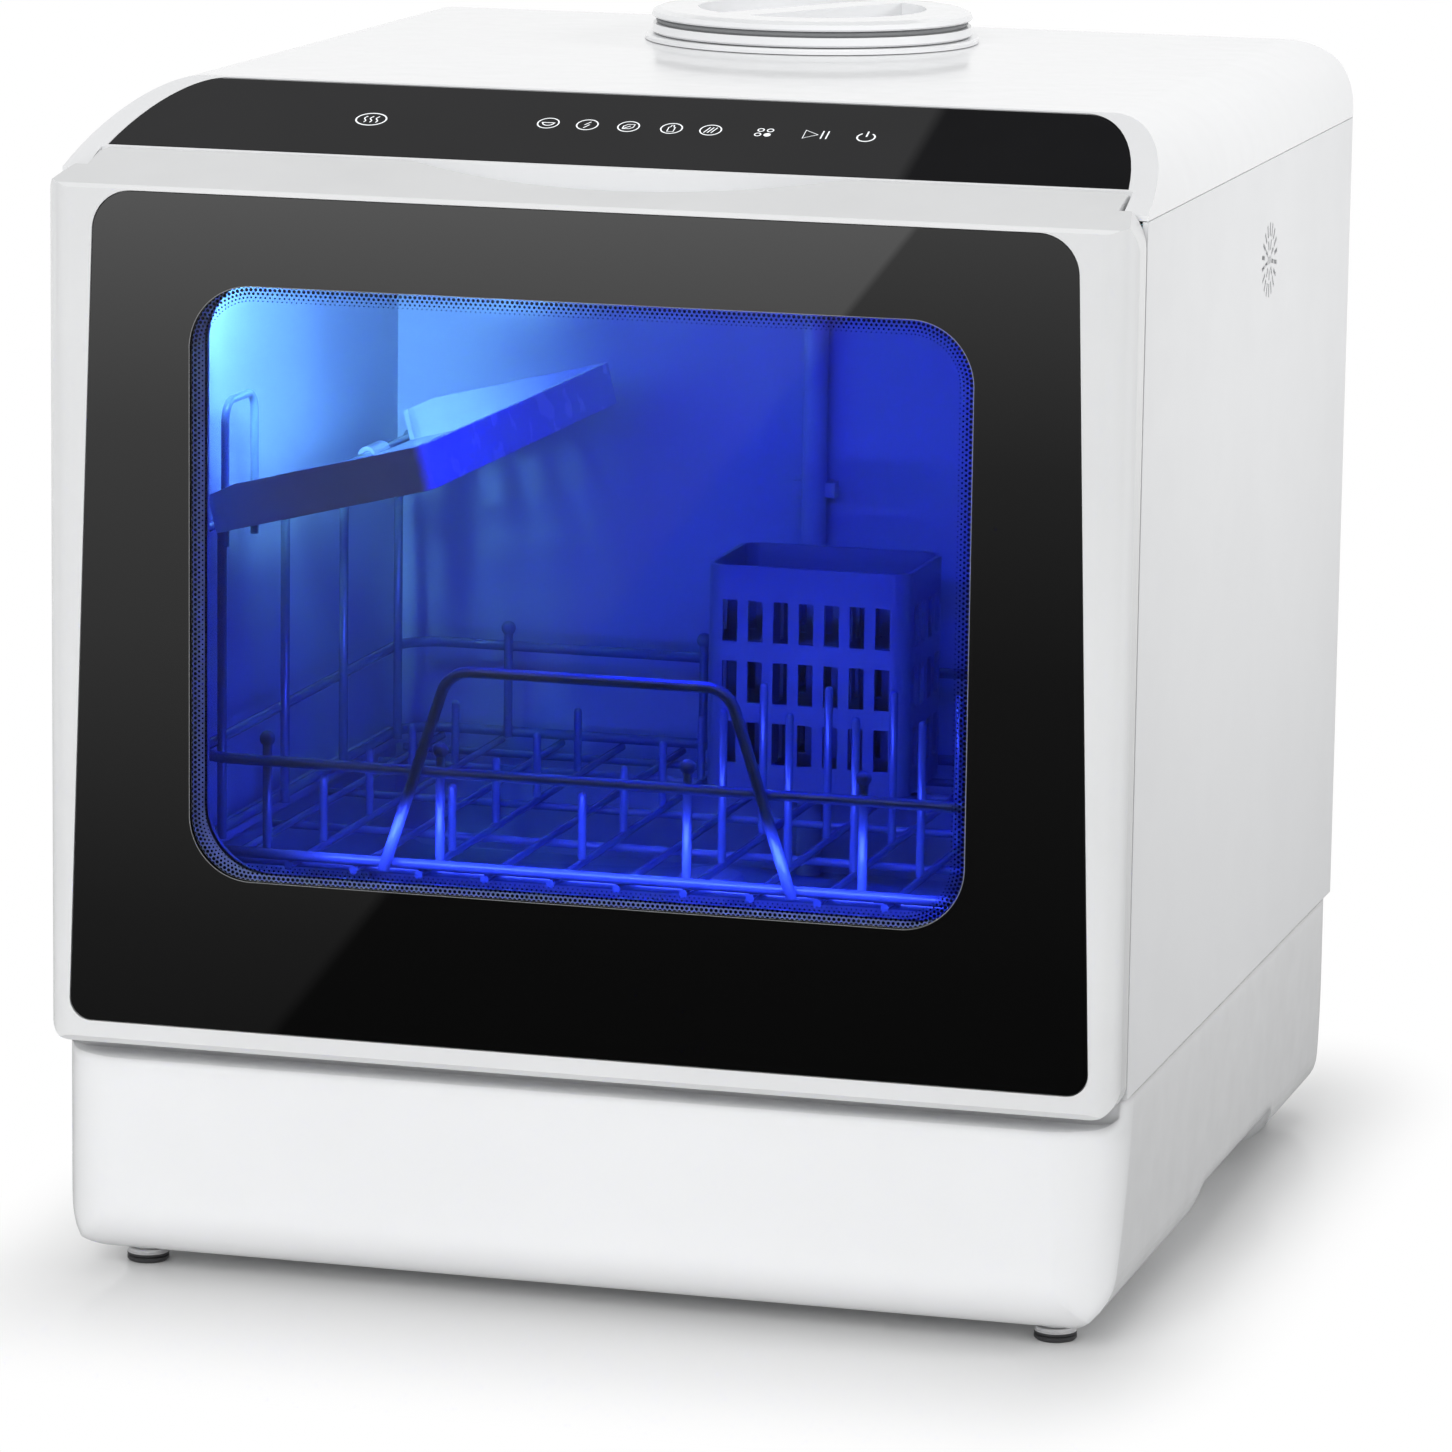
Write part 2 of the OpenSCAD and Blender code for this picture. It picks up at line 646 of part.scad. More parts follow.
pump_y = 70;
pump_z = tray_top + 34;
module wash_pump() color("dimgray") difference() {
  union() {
    translate([-150, pump_y, pump_z]) rotate([0, 90, 0]) cylinder(h = 76, r = 26);
    translate([-158, pump_y, pump_z]) rotate([0, 90, 0]) cylinder(h = 9, r = 12);
    translate([-75, pump_y, pump_z]) rotate([0, 90, 0]) cylinder(h = 24, r = 33);
    translate([-52, pump_y, pump_z]) rotate([0, 90, 0]) cylinder(h = 14, r = 11);
    for (x = [-140, -95]) translate([x, pump_y - 22, tray_top + seat_gap]) cube([10, 44, 22]);
  }
  for (i = [0:9]) translate([-146 + i * 7, pump_y, pump_z]) rotate([0, 90, 0]) difference() {
    cylinder(h = 2.4, r = 27);
    translate([0, 0, -1]) cylinder(h = 5, r = 24.6);
    translate([-2, -30, -1]) cube([40, 60, 5]);
  }
  translate([-60, pump_y, pump_z]) rotate([0, 90, 0]) cylinder(h = 30, r = 8);
}

pipe_x1 = filter_x - sqrt(pow(filter_r + 6, 2) - pow(pump_y - filter_y, 2)) - 1;
module pump_pipe() color("black") difference() {
  translate([-38 + seat_gap, pump_y, pump_z]) rotate([0, 90, 0])
    cylinder(h = pipe_x1 + 38 - 2 * seat_gap - 3, r = 10);
  translate([-39, pump_y, pump_z]) rotate([0, 90, 0]) cylinder(h = pipe_x1 + 40, r = 7.6);
}

heat_z = tray_top + 26;
module heater() color("silver") {
  translate([-150, -70, heat_z]) rotate([0, 90, 0]) cylinder(h = 104, r = 17);
  for (x = [-157, -46.5]) translate([x, -70, heat_z]) rotate([0, 90, 0]) cylinder(h = 7.5, r = 8);
  for (x = [-130, -70]) translate([x, -80, tray_top + seat_gap]) cube([6, 20, 14]);
  for (y = [-78, -62]) translate([-120, y, heat_z + 12]) cylinder(h = 14, r = 1.6);
}

module drain_pump() color("dimgray") {
  translate([130, -96, tray_top + 26]) rotate([-90, 0, 0]) cylinder(h = 46, r = 22);
  translate([130, -51, tray_top + 26]) rotate([-90, 0, 0]) cylinder(h = 18, r = 25);
  translate([130, -34, tray_top + 26]) rotate([-90, 0, 0]) cylinder(h = 22, r = 8);
  for (y = [-90, -60]) translate([114, y, tray_top + seat_gap]) cube([32, 6, 12]);
}

module inlet_valve() color("white") {
  translate([conn[0][0] - 11, 150, tray_top + seat_gap]) cube([22, 24, 44]);
  translate([conn[0][0], 173, bay_z]) rotate([-90, 0, 0]) cylinder(h = bay_y - 173 - 10, r = 7);
  translate([conn[0][0], 162, tray_top + 40]) cylinder(h = 26, r = 6);
}

tank_y1 = back - 7;
tank_y0 = tub_y1 + tub_t + 5;
tank_x = hw - 34;
tank_z0 = seam_z + 60;
module tank_hose() color("gainsboro") difference() {
  translate([conn[0][0], 162, tray_top + 66 + seat_gap])
    cylinder(h = tank_z0 - tray_top - 66 - 2 * seat_gap, r = 8);
  translate([conn[0][0], 162, tray_top + 60]) cylinder(h = 120, r = 5);
}

module power_board() color("darkgreen") {
  translate([-158, 118, tray_top + 8]) cube([110, 56, 1.6]);
  for (x = [-152, -58], y = [122, 166]) translate([x, y, tray_top + seat_gap]) cylinder(h = 8, r = 3);
  translate([-140, 130, tray_top + 9]) cube([26, 20, 16]);
  translate([-96, 132, tray_top + 9]) cylinder(h = 24, r = 9);
  translate([-74, 128, tray_top + 9]) cube([18, 30, 12]);
}

module tank_outline(o) {
  polygon([[cap_y - 66 + o, tank_roof + o], [cap_y - 66 + o, tank_top - o], [tank_y1 - o, tank_top - o],
    [tank_y1 - o, tank_z0 + o], [tank_y0 + o, tank_z0 + o], [tank_y0 + o, tank_roof + o]]);
}

module water_tank() color("whitesmoke") difference() {
  slab_yz(-tank_x, tank_x) tank_outline(0);
  slab_yz(-tank_x + 2.4, tank_x - 2.4) tank_outline(2.4);
  translate([0, cap_y, tank_top - 5]) cylinder(h = 10, r = plug_r + 2);
}

module tank_collar() color("white") translate([0, cap_y, 0]) rotate_extrude() polygon([
  [plug_r + 0.09, tank_top + seat_gap], [collar_r, tank_top + seat_gap],
  [collar_r, body_h + seat_gap], [cap_r + 2.6, body_h + seat_gap],
  [cap_r + 2.6, body_h + 1.6], [cap_r + 1.8, body_h + 2.4], [plug_r + 0.09, body_h + 2.4]]);

pipe_r = 5;
pipe_y = tub_y1 - pipe_r - seat_gap;
pipe_z = tub_roof_z - pipe_r - seat_gap;
up_post_r = 6;
up_z0 = pipe_z - 21.7;
module spray_pipe() color("lightgray") {
  bar([0, pipe_y, tub_floor_z + seat_gap], [0, pipe_y, pipe_z - 14], pipe_r);
  translate([0, pipe_y - 14, pipe_z - 14]) rotate([90, 0, 90])
    rotate_extrude(angle = 90) translate([14, 0]) circle(r = pipe_r);
  bar([0, arm_y, pipe_z], [0, pipe_y - 14, pipe_z], pipe_r);
  translate([0, arm_y, up_z0]) cylinder(h = pipe_z - up_z0 + 2, r = up_post_r);
  translate([0, arm_y, up_z0]) cylinder(h = 4.7, r1 = 8, r2 = 10);
  for (z = [150, 260]) translate([-9, pipe_y - 1.4, z]) cube([18, pipe_r + 1.4, 6]);
}

lamp_y = tub_y0 + 44;
module interior_lamps() color("lightcyan") for (m = [-1, 1])
  translate([m * 112, lamp_y, tub_roof_z - 5 - seat_gap]) union() {
    linear_extrude(height = 5) rr2(70, 20, 6);
    translate([0, 0, -2]) linear_extrude(height = 2.1) rr2(58, 11, 5);
  }

// ---------- drying fan behind the vent ----------

fan_x0 = tub_w / 2 + tub_t + seat_gap;
fan_x1 = hw - sheet_t - seat_gap;
module fan_housing() color("dimgray") difference() {
  slab_yz(fan_x0, fan_x1) translate([vent_y, vent_z - 6]) rr2(44, 44, 5);
  translate([fan_x0 + 3, vent_y, vent_z - 6]) rotate([0, 90, 0]) cylinder(h = 40, r = 20);
  translate([fan_x0 - 1, vent_y, vent_z - 6]) rotate([0, 90, 0]) difference() {
    cylinder(h = 6, r = 12);
    translate([0, 0, -1]) cylinder(h = 8, r = 6);
    for (a = [0, 90]) rotate([0, 0, a]) translate([-13, -1.5, -1]) cube([26, 3, 8]);
  }
  translate([fan_x0 - 1, vent_y, vent_z - 6]) rotate([0, 90, 0]) cylinder(h = 6, r = 1.5 + run_fit);
}

module fan_rotor() color("black") translate([fan_x0, vent_y, vent_z - 6]) rotate([0, 90, 0]) {
  cylinder(h = 6, r = 1.5);
  translate([0, 0, 4]) cylinder(h = fan_x1 - fan_x0 - 7, r = 7);
  for (i = [0:6]) rotate([0, 0, 360 / 7 * i]) translate([6, -0.8, 5])
    rotate([24, 0, 0]) cube([12, 1.4, fan_x1 - fan_x0 - 10]);
}

// ---------- rear connectors ----------

module spigot(i, bore) {
  r = conn[i][1];
  translate([conn[i][0], bay_y - shell_t - 6, bay_z]) rotate([-90, 0, 0]) difference() {
    union() {
      cylinder(h = 6 - seat_gap, r = r + 4);
      cylinder(h = shell_t + 7, r = r + 1.5);
      translate([0, 0, shell_t + 7]) cylinder(h = back + spigot_out - bay_y - 1, r = r);
    }
    translate([0, 0, 4]) cylinder(h = 60, r = bore);
  }
}

module water_inlet() color("silver") spigot(0, 9);
module drain_spigot() color("dimgray") spigot(1, 7);
module cord_gland() color("black") spigot(2, 4);

// ---------- hinges and latch ----------

bracket_t = 3;
module hinge_brackets() color("silver") for (m = [-1, 1]) mirror([m < 0 ? 1 : 0, 0, 0]) {
  difference() {
    slab_yz(arm_x - bracket_t / 2, arm_x + bracket_t / 2) union() {
      polygon([[axis_y, axis_z - 3], [flange_y + 6, axis_z - 3], [flange_y + 10, 60],
        [flange_y + 16, tray_top + 12], [flange_y + 60, tray_top + 12], [flange_y + 56, 50],
        [flange_y + 30, 92], [flange_y + 14, axis_z + 3], [axis_y, axis_z + 3]]);
      translate([axis_y, axis_z]) circle(r = 4.4);
    }
    translate([arm_x - 5, axis_y, axis_z]) rotate([0, 90, 0]) cylinder(h = 10, r = pin_r);
  }
}

pin_l = 9;
module hinge_pins() color("gray") for (m = [-1, 1]) translate([m * arm_x - pin_l, axis_y, axis_z])
  rotate([0, 90, 0]) cylinder(h = 2 * pin_l, r = pin_r);

module latch_catch() color("dimgray") difference() {
  translate([-24, slope_y0 + 1.3, latch_z - 6]) cube([48, 16, 17]);
  translate([-15, slope_y0, latch_z - 3]) cube([30, 20, 11]);
}

// ---------- door ----------

module door_outline(o) taper_outline(body_w - 2 * o, body_w - 2 * o, door_z0 + o, top_back_z + 1.4 - o, 10, 20);

module door_plan() intersection() {
  translate([-hw, front]) square([body_w, door_t]);
  union() {
    translate([-hw, front + door_edge_r]) square([body_w, door_t]);
    translate([-hw + door_edge_r, front]) square([body_w - 2 * door_edge_r, door_t]);
    for (m = [-1, 1]) translate([m * (hw - door_edge_r), front + door_edge_r]) circle(r = door_edge_r);
  }
}

ext_x = cheek_in - 1.2;
module door_profile() polygon([
  [front, door_z0 + 2.5], [front, lip_z - 1.5], [front + 1.5, lip_z],
  [top_back_y, top_back_z], [top_back_y, ext_z], [door_back, ext_z],
  [door_back, door_z0 + 6], [door_back - 6, door_z0], [front + 2.5, door_z0]]);

module glass_outline(o) taper_outline(glass_bottom_w + 2 * o, glass_top_w + 2 * o,
  glass_z0 - o, glass_z1 + o, 8 + o, 15 + o);

module window_outline(o) translate([0, window_zc])
  rr2(window_w + 2 * o, window_h + 2 * o, window_r + o);

scoop_x = 8;
module door_frame() color("white") difference() {
  intersection() {
    union() {
      translate([0, 0, door_z0]) linear_extrude(height = body_h - door_z0) door_plan();
      translate([-ext_x, door_back - 1, ext_z]) cube([2 * ext_x, top_back_y - door_back + 1, 60]);
    }
    slab_xz(front, top_back_y) door_outline(0);
    slab_yz(-hw, hw) door_profile();
  }
  slab_xz(front - 1, recess_y) glass_outline(0.4);
  slab_xz(front - 1, door_back + 1) window_outline(frame_margin);
  slab_xz(pocket_y, door_back + 1) translate([0, (door_z0 + 3.5 + ext_z - 0.8) / 2])
    rr2(body_w - 8, ext_z - door_z0 - 4.3, 8);
  translate([-ext_x + 4, door_back - 1, ext_z + 4]) cube([2 * ext_x - 8, top_back_y - door_back - 3, 9]);
  translate([scoop_x, top_back_y + 158, lip_z - 1.6]) cylinder(h = 30, r = 178, $fn = 180);
  for (m = [-1, 1]) translate([m * arm_x - arm_slot / 2, pocket_y - 1, door_z0 - 1])
    cube([arm_slot, door_t, hinge_up + 7]);
}

module door_glass() color("black") slab_xz(glass_y, glass_y + glass_t) glass_outline(0);

module glass_mask() color("black") difference() {
  slab_xz(glass_y + glass_t, recess_y - 0.05) glass_outline(-0.3);
  slab_xz(front - 1, recess_y + 1) window_outline(0);
}

pane_y = liner_back - liner_t - pane_t;
module window_gasket() color("black") difference() {
  slab_xz(recess_y + 0.3, pane_y - 0.1) window_outline(frame_margin - 0.3);
  slab_xz(front, back) window_outline(frame_margin - 2);
}

liner_zc = (liner_z0 + liner_z1) / 2;
module liner_block(o, y0, y1) slab_xz(y0, y1) translate([0, liner_zc])
  rr2(2 * (liner_hw - o), liner_z1 - liner_z0 - 2 * o, 14 - o);

cup_x = 92;
cup_r = 13;
cup_z = liner_z0 + 18;
module door_liner() color("gainsboro") difference() {
  union() {
    difference() {
      liner_block(0, pocket_y + 0.4, liner_back);
      liner_block(liner_t, pocket_y - 1, liner_back - liner_t);
    }
    difference() {
      slab_xz(pane_y + 0.3, liner_back - liner_t + 0.5) window_outline(frame_margin + 7.4);
      slab_xz(pane_y, liner_back) window_outline(frame_margin + 5.4);
    }
  }
  slab_xz(liner_back - 5, liner_back + 1) window_outline(frame_margin - 2);
  translate([cup_x, liner_back - 5, cup_z]) rotate([-90, 0, 0]) cylinder(h = 8, r = cup_r + seat_gap);
  for (m = [-1, 1]) translate([m * arm_x - 12.5, pocket_y, liner_z0 - 1]) cube([25, 40, 16.4]);
}

module inner_window() color("azure") slab_xz(pane_y + 0.3, pane_y + pane_t) window_outline(frame_margin + 5);

module detergent_cup() color("whitesmoke") translate([cup_x, liner_back - 10.5, cup_z])
  rotate([-90, 0, 0]) difference() {
    union() {
      cylinder(h = 10.4, r = cup_r);
      translate([0, 0, 6.4]) cylinder(h = 1.3, r = cup_r + 2.5);
    }
    translate([0, 0, 1.5]) cylinder(h = 20, r = cup_r - 1.6);
  }

module latch_tongue() color("silver") difference() {
  translate([-11, top_back_y + seat_gap, latch_z]) cube([22, 14, 3]);
  translate([-4, top_back_y + 7, latch_z - 1]) cube([8, 4, 5]);
}

module hinge_blocks() color("gray") for (m = [-1, 1]) difference() {
  translate([m * arm_x - (m > 0 ? 10.5 : 7), pocket_y + seat_gap, door_z0 + 4.6]) cube([17.5, 10.4, 19]);
  translate([m * arm_x - arm_slot / 2, pocket_y - 1, door_z0 - 1]) cube([arm_slot, door_t, 21]);
  translate([m * arm_x - 20, axis_y, axis_z]) rotate([0, 90, 0]) cylinder(h = 40, r = pin_r + run_fit);
}

// ---------- rack ----------

front_posts = [-140, -71, 26, 94, 160];
side_posts = [34, 90, 146, 202];
tall_posts = [30, 104, 176, 246];
ball_z = up_z + 8;
module ball_post(x, y) {
  bar([x, y, rail_z - 1.8], [x, y, ball_z], wire_r + 0.2);
  translate([x, y, ball_z]) sphere(r = wire_r + 1.4);
}

module rack_frame() color("slategray") {
  union() {
    rail_loop(rack_x, rack_y0, rack_y1, rail_z, rail_bend, rail_r);
    rail_loop(rack_x, rack_y0, rack_y1, up_z, rail_bend, rail_r);
    for (x = front_posts) ball_post(x, rack_y0 + rail_r + wire_r - weld);
    for (x = [-126, -42, 42, 126]) ball_post(x, rack_y1 - rail_r - wire_r + weld);
    for (y = side_posts) ball_post(rack_x - rail_r - wire_r + weld, rack_y0 + y);
    for (y = tall_posts) bar([hinge_x, rack_y0 + y, rail_z - 1.8], [hinge_x, rack_y0 + y, shelf_z], wire_r + 0.2);
    bar([hinge_x, rack_y0 + 4, shelf_z], [hinge_x, rack_y1 - 6, shelf_z], hinge_wire_r);
    for (y = [4, rack_depth - 6]) translate([hinge_x, rack_y0 + y, shelf_z]) sphere(r = 3.4);
    bail();
  }
}

bail_y = rack_y0 + 42;
bail_l = 34;
bail_h = 44;
module bail() {
  x = hinge_x - hinge_wire_r - wire_r + weld;
  for (s = [0, bail_l]) bar([x, bail_y + s, shelf_z - 12], [x, bail_y + s, shelf_z + bail_h - 8], wire_r);
  bar([x, bail_y + 8, shelf_z + bail_h], [x, bail_y + bail_l - 8, shelf_z + bail_h], wire_r);
  translate([x, bail_y + bail_l - 8, shelf_z + bail_h - 8]) rotate([90, 0, 90]) bend(8, wire_r, 0);
  translate([x, bail_y + 8, shelf_z + bail_h - 8]) rotate([90, 0, 90]) bend(8, wire_r, 90);
}

cross_ys = [16, 84, 152, 220, 252];
floor_y0 = rack_y0 - rail_r + 0.6;
floor_y1 = rack_y1 + rail_r - 0.6;
module rack_floor() color("slategray") union() {
  for (i = [0:floor_wires - 1]) {
    x = (i - (floor_wires - 1) / 2) * wire_step;
    bar([x, floor_y0, long_z], [x, floor_y1, long_z], wire_r);
  }
  for (y = cross_ys) bar([-rack_x + 4, rack_y0 + y, cross_z], [rack_x - 4, rack_y0 + y, cross_z], wire_r);
}

tine_z = long_z + wire_r + 0.1;
module tine(x, y, h) {
  bar([x, y, tine_z], [x, y, tine_z + h], wire_r);
  translate([x, y, tine_z + h]) sphere(r = wire_r);
}

module rack_tines() color("slategray") {
  half = (floor_wires - 1) / 2;
  for (i = [1:half], y = [52, 110]) tine(i * wire_step, rack_y0 + y, tine_h);
  for (i = [1:2:half], y = [40, 96, 150, 206]) tine(-i * wire_step, rack_y0 + y, tine_h * 0.42);
}

handle_x = -11;
handle_base = 80;
handle_top = 54.5;
handle_r = 2.2;
handle_bend = 12;
handle_z0 = rail_z - 2;
handle_z1 = rail_z + handle_h;
handle_lean = atan2(handle_base - handle_top, handle_z1 - handle_z0);
handle_t = handle_bend * tan((90 - handle_lean) / 2);
bend_steps = 8;

// centre line of the right half of the handle, from its foot to the bar: x, z, direction
function handle_half() = concat(
  [[handle_base, handle_z0, handle_lean + 90]],
  [for (i = [0:bend_steps]) let (a = handle_lean + (90 - handle_lean) * i / bend_steps)
    [handle_top - handle_t + handle_bend * cos(a), handle_z1 - handle_bend + handle_bend * sin(a), a + 90]]);
function handle_line() = let (h = handle_half(), n = len(h))
  concat(h, [for (i = [n - 1:-1:0]) [-h[i][0], h[i][1], 360 - h[i][2]]]);

module rack_handle() color("slategray") {
  sides = 14;
  path = handle_line();
  n = len(path);
  points = [for (p = path, k = [0:sides - 1]) let (a = 360 / sides * k, u = handle_r * cos(a))
    [p[0] + u * sin(p[2]), handle_r * sin(a), p[1] - u * cos(p[2])]];
  skin = [for (i = [0:n - 2], k = [0:sides - 1]) let (m = (k + 1) % sides)
    [i * sides + k, (i + 1) * sides + k, (i + 1) * sides + m, i * sides + m]];
  translate([handle_x, rack_y0 - rail_r - handle_r - 0.1, 0])
    polyhedron(points, concat(skin, [[for (k = [0:sides - 1]) k]],
      [[for (k = [sides - 1:-1:0]) (n - 1) * sides + k]]));
}

shelf_l = rack_depth - 22;
shelf_fit = 0.08;
knuckles = [62, 140, 214];
module cup_shelf() color("lightsteelblue") translate([hinge_x, 0, shelf_z]) rotate([0, -shelf_tilt, 0]) {
  difference() {
    union() {
      difference() {
        translate([6 + (shelf_w - 6) / 2, rack_y0 + 2 + shelf_l / 2, -2])
          linear_extrude(height = apron_h) rr2(shelf_w - 6, shelf_l, 4.5);
        translate([6 + (shelf_w - 6) / 2, rack_y0 + 2 + shelf_l / 2, 0.2])
          linear_extrude(height = apron_h) rr2(shelf_w - 10, shelf_l - 4, 2.5);
        translate([-eps, rack_y0 + 7, 0.2]) cube([18, shelf_l - 10, apron_h]);
        translate([0, rack_y0, 0]) rotate([-90, 0, 0]) linear_extrude(height = shelf_l + 10)
          polygon([[-1, -11], [20, -15.2], [20, -20], [-1, -20]]);
      }
      for (y = knuckles) {
        translate([0, rack_y0 + y - 9, 0]) rotate([-90, 0, 0]) cylinder(h = 18, r = hinge_wire_r + 2);
        translate([0, rack_y0 + y - 9, -2]) cube([8, 18, 2.2]);
      }
    }
    for (y = knuckles) translate([0, rack_y0 + y - 10, 0]) rotate([-90, 0, 0])
      cylinder(h = 20, r = hinge_wire_r + shelf_fit);
    for (i = [0:4], j = [0:8]) translate([22 + i * 14, rack_y0 + 16 + j * 25.5, -3])
      linear_extrude(height = 5) translate([4, 9]) rr2(7, 18, 3);
  }
}

module cutlery_basket() color("dimgray") translate([basket_x, basket_y, basket_z]) difference() {
  union() {
    difference() {
      linear_extrude(height = basket_h) rr2(basket_w, basket_d, 8);
      translate([0, 0, basket_t]) linear_extrude(height = basket_h)
        rr2(basket_w - 2 * basket_t, basket_d - 2 * basket_t, 8 - basket_t);
    }
    for (m = [-1, 1]) translate([m * basket_w / 6 - basket_t / 2, -basket_d / 2 + 1, 1])
      cube([basket_t, basket_d - 2, basket_h - 14]);
    translate([-basket_w / 2 + 0.5, -basket_t / 2, 1]) cube([basket_w - 1, basket_t, basket_h - 14]);
  }
  for (i = [-3:3], j = [0:2]) translate([i * 10.5 - 3, -basket_d, 10 + j * (basket_h - 16) / 3])
    cube([6, 2 * basket_d, (basket_h - 16) / 3 - 8]);
  for (i = [-1.5:1.5], j = [0:2]) translate([-basket_w, i * 11 - 3, 10 + j * (basket_h - 16) / 3])
    cube([2 * basket_w, 6, (basket_h - 16) / 3 - 8]);
}

// ---------- spray arms ----------

module arm_outline(reach, w0, w1, hub) union() {
  circle(r = hub);
  for (m = [0, 180]) rotate([0, 0, m]) {
    polygon([[0, -w0 / 2 + 3], [reach - w1 / 2, -w1 / 2 + 2], [reach - w1 / 2, w1 / 2 + 2], [0, w0 / 2]]);
    translate([reach - w1 / 2, 2]) circle(r = w1 / 2);
  }
}

low_z0 = tub_floor_z + 19;
module lower_spray_arm() color("gray") translate([0, arm_y, 0]) difference() {
  union() {
    intersection() {
      translate([0, 0, low_z0]) linear_extrude(height = 9) arm_outline(low_arm_r, 36, 24, 26);
      translate([0, 0, low_z0]) rotate_extrude() polygon([[0, 0], [low_arm_r - 3, 0],
        [low_arm_r, 2], [low_arm_r, 4], [low_arm_r - 3, 6], [30, 9], [0, 9]]);
    }
    translate([0, 0, tub_floor_z + 10]) cylinder(h = low_z0 - tub_floor_z - 9, r = post_r + 5.5);
  }
  translate([0, 0, tub_floor_z + 5]) cylinder(h = post_top - tub_floor_z - 5 + seat_gap, r = post_r + run_fit);
  for (m = [0, 180], d = [52, 76, 100, 122]) rotate([0, 0, m]) translate([d, 3, low_z0 + 3])
    cylinder(h = 9, r = 1.5);
}

up_arm_z = up_z0 + 5;
module upper_spray_arm() color("gray") translate([0, arm_y, 0]) difference() {
  intersection() {
    translate([0, 0, up_arm_z]) linear_extrude(height = 7) arm_outline(up_arm_r, 30, 20, 20);
    translate([0, 0, up_arm_z]) rotate_extrude() polygon([[0, 0], [22, 0], [up_arm_r - 3, 1.6],
      [up_arm_r, 3], [up_arm_r, 5], [up_arm_r - 3, 7], [0, 7]]);
  }
  translate([0, 0, up_arm_z - 1]) cylinder(h = 10, r = up_post_r + run_fit);
  for (m = [0, 180], d = [44, 66, 88, 104]) rotate([0, 0, m]) translate([d, 3, up_arm_z - 1])
    cylinder(h = 4, r = 1.4);
}

module arm_caps() color("lightgray") translate([0, arm_y, low_z0 + 9 + 0.1])
  rotate_extrude() polygon([[0, 0], [13, 0], [12, 2], [8, 3.2], [0, 3.2]]);

module filter_cup() color("silver") translate([filter_x, filter_y, 0]) difference() {
  union() {
    translate([0, 0, sump_bot + 14]) cylinder(h = tub_floor_z + 2 - sump_bot - 14, r = filter_r);
    translate([0, 0, tub_floor_z + seat_gap]) cylinder(h = 1.7, r = filter_r + 6);
  }
  difference() {
    translate([0, 0, sump_bot + 16]) cylinder(h = 80, r = filter_r - 1.6);
    translate([-filter_r, -2.5, tub_floor_z - 8]) cube([2 * filter_r, 5, 14]);
  }
  translate([0, 0, tub_floor_z + 8]) cylinder(h = 20, r = filter_r + 2);
  for (i = [0:11], j = [0, 1]) rotate([0, 0, 30 * i]) translate([filter_r - 4, -2.6, sump_bot + 20 + j * 17])
    cube([8, 5.2, 12]);
}

// ---------- cap ----------

module cap_plug() color("white") translate([0, cap_y, 0]) rotate_extrude() polygon([
  [0, tank_top + 0.5], [plug_r - 2, tank_top + 0.5], [plug_r, tank_top + 2.5],
  [plug_r, flange_z], [cap_r - 1, flange_z], [cap_r, flange_z + 0.8], [cap_r - 0.6, flange_z + 3.8],
  [plug_r - 2, flange_z + 3.8], [plug_r - 2, tank_top + 3.1], [0, tank_top + 3.1]]);

seal_z = flange_z + 3.8;
module cap_seal() color("silver") translate([0, cap_y, 0]) rotate_extrude() polygon([
  [plug_r + 2, seal_z + 0.1], [cap_r - 2.4, seal_z + 0.1], [cap_r - 1.8, seal_z + 0.8],
  [cap_r - 1.8, seal_z + 1.6], [cap_r - 2.4, seal_z + 2.2], [plug_r + 2, seal_z + 2.2]]);

disc_z = seal_z + 2.5;
hub_r = plug_r - 2 - run_fit;
module cap_handle() color("white") translate([0, cap_y, 0]) difference() {
  rotate_extrude() polygon([[0, tank_top + 3.4], [hub_r - 1, tank_top + 3.4], [hub_r, tank_top + 4.4],
    [hub_r, disc_z], [cap_r - 0.8, disc_z], [cap_r, disc_z + 0.7], [cap_r - 0.6, cap_top - 1.4],
    [cap_r - 3.4, cap_top - 0.2], [cap_r - 9, cap_top], [0, cap_top]]);
  difference() {
    translate([0, 0, cap_top - scoop_d]) cylinder(h = scoop_d + 5, r = hub_r - 3);
    rotate([0, 0, 62]) translate([-hub_r, -grip_w / 2, 0]) cube([2 * hub_r, grip_w, cap_top + 10]);
  }
}

base_housing();
pump_tray();
foot_stems();
foot_pads();
left_side_panel();
right_side_panel();
rear_panel();
rear_screws();
top_cover();
control_panel();
control_board();
tub();
tub_flange();
door_seal();
rack_ledges();
sump_housing();
spray_post();
wash_pump();
pump_pipe();
heater();
drain_pump();
inlet_valve();
tank_hose();
power_board();
water_tank();
tank_collar();
spray_pipe();
interior_lamps();
fan_housing();
fan_rotor();
water_inlet();
drain_spigot();
cord_gland();
hinge_brackets();
hinge_pins();
latch_catch();
door_frame();
door_glass();
glass_mask();
window_gasket();
door_liner();
inner_window();
detergent_cup();
latch_tongue();
hinge_blocks();
rack_frame();
rack_floor();
rack_tines();
rack_handle();
cup_shelf();
cutlery_basket();
lower_spray_arm();
upper_spray_arm();
arm_caps();
filter_cup();
cap_plug();
cap_seal();
cap_handle();
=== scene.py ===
"""Looks of the countertop dishwasher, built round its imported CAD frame."""

import json
import math

import bpy
from mathutils import Matrix, Vector


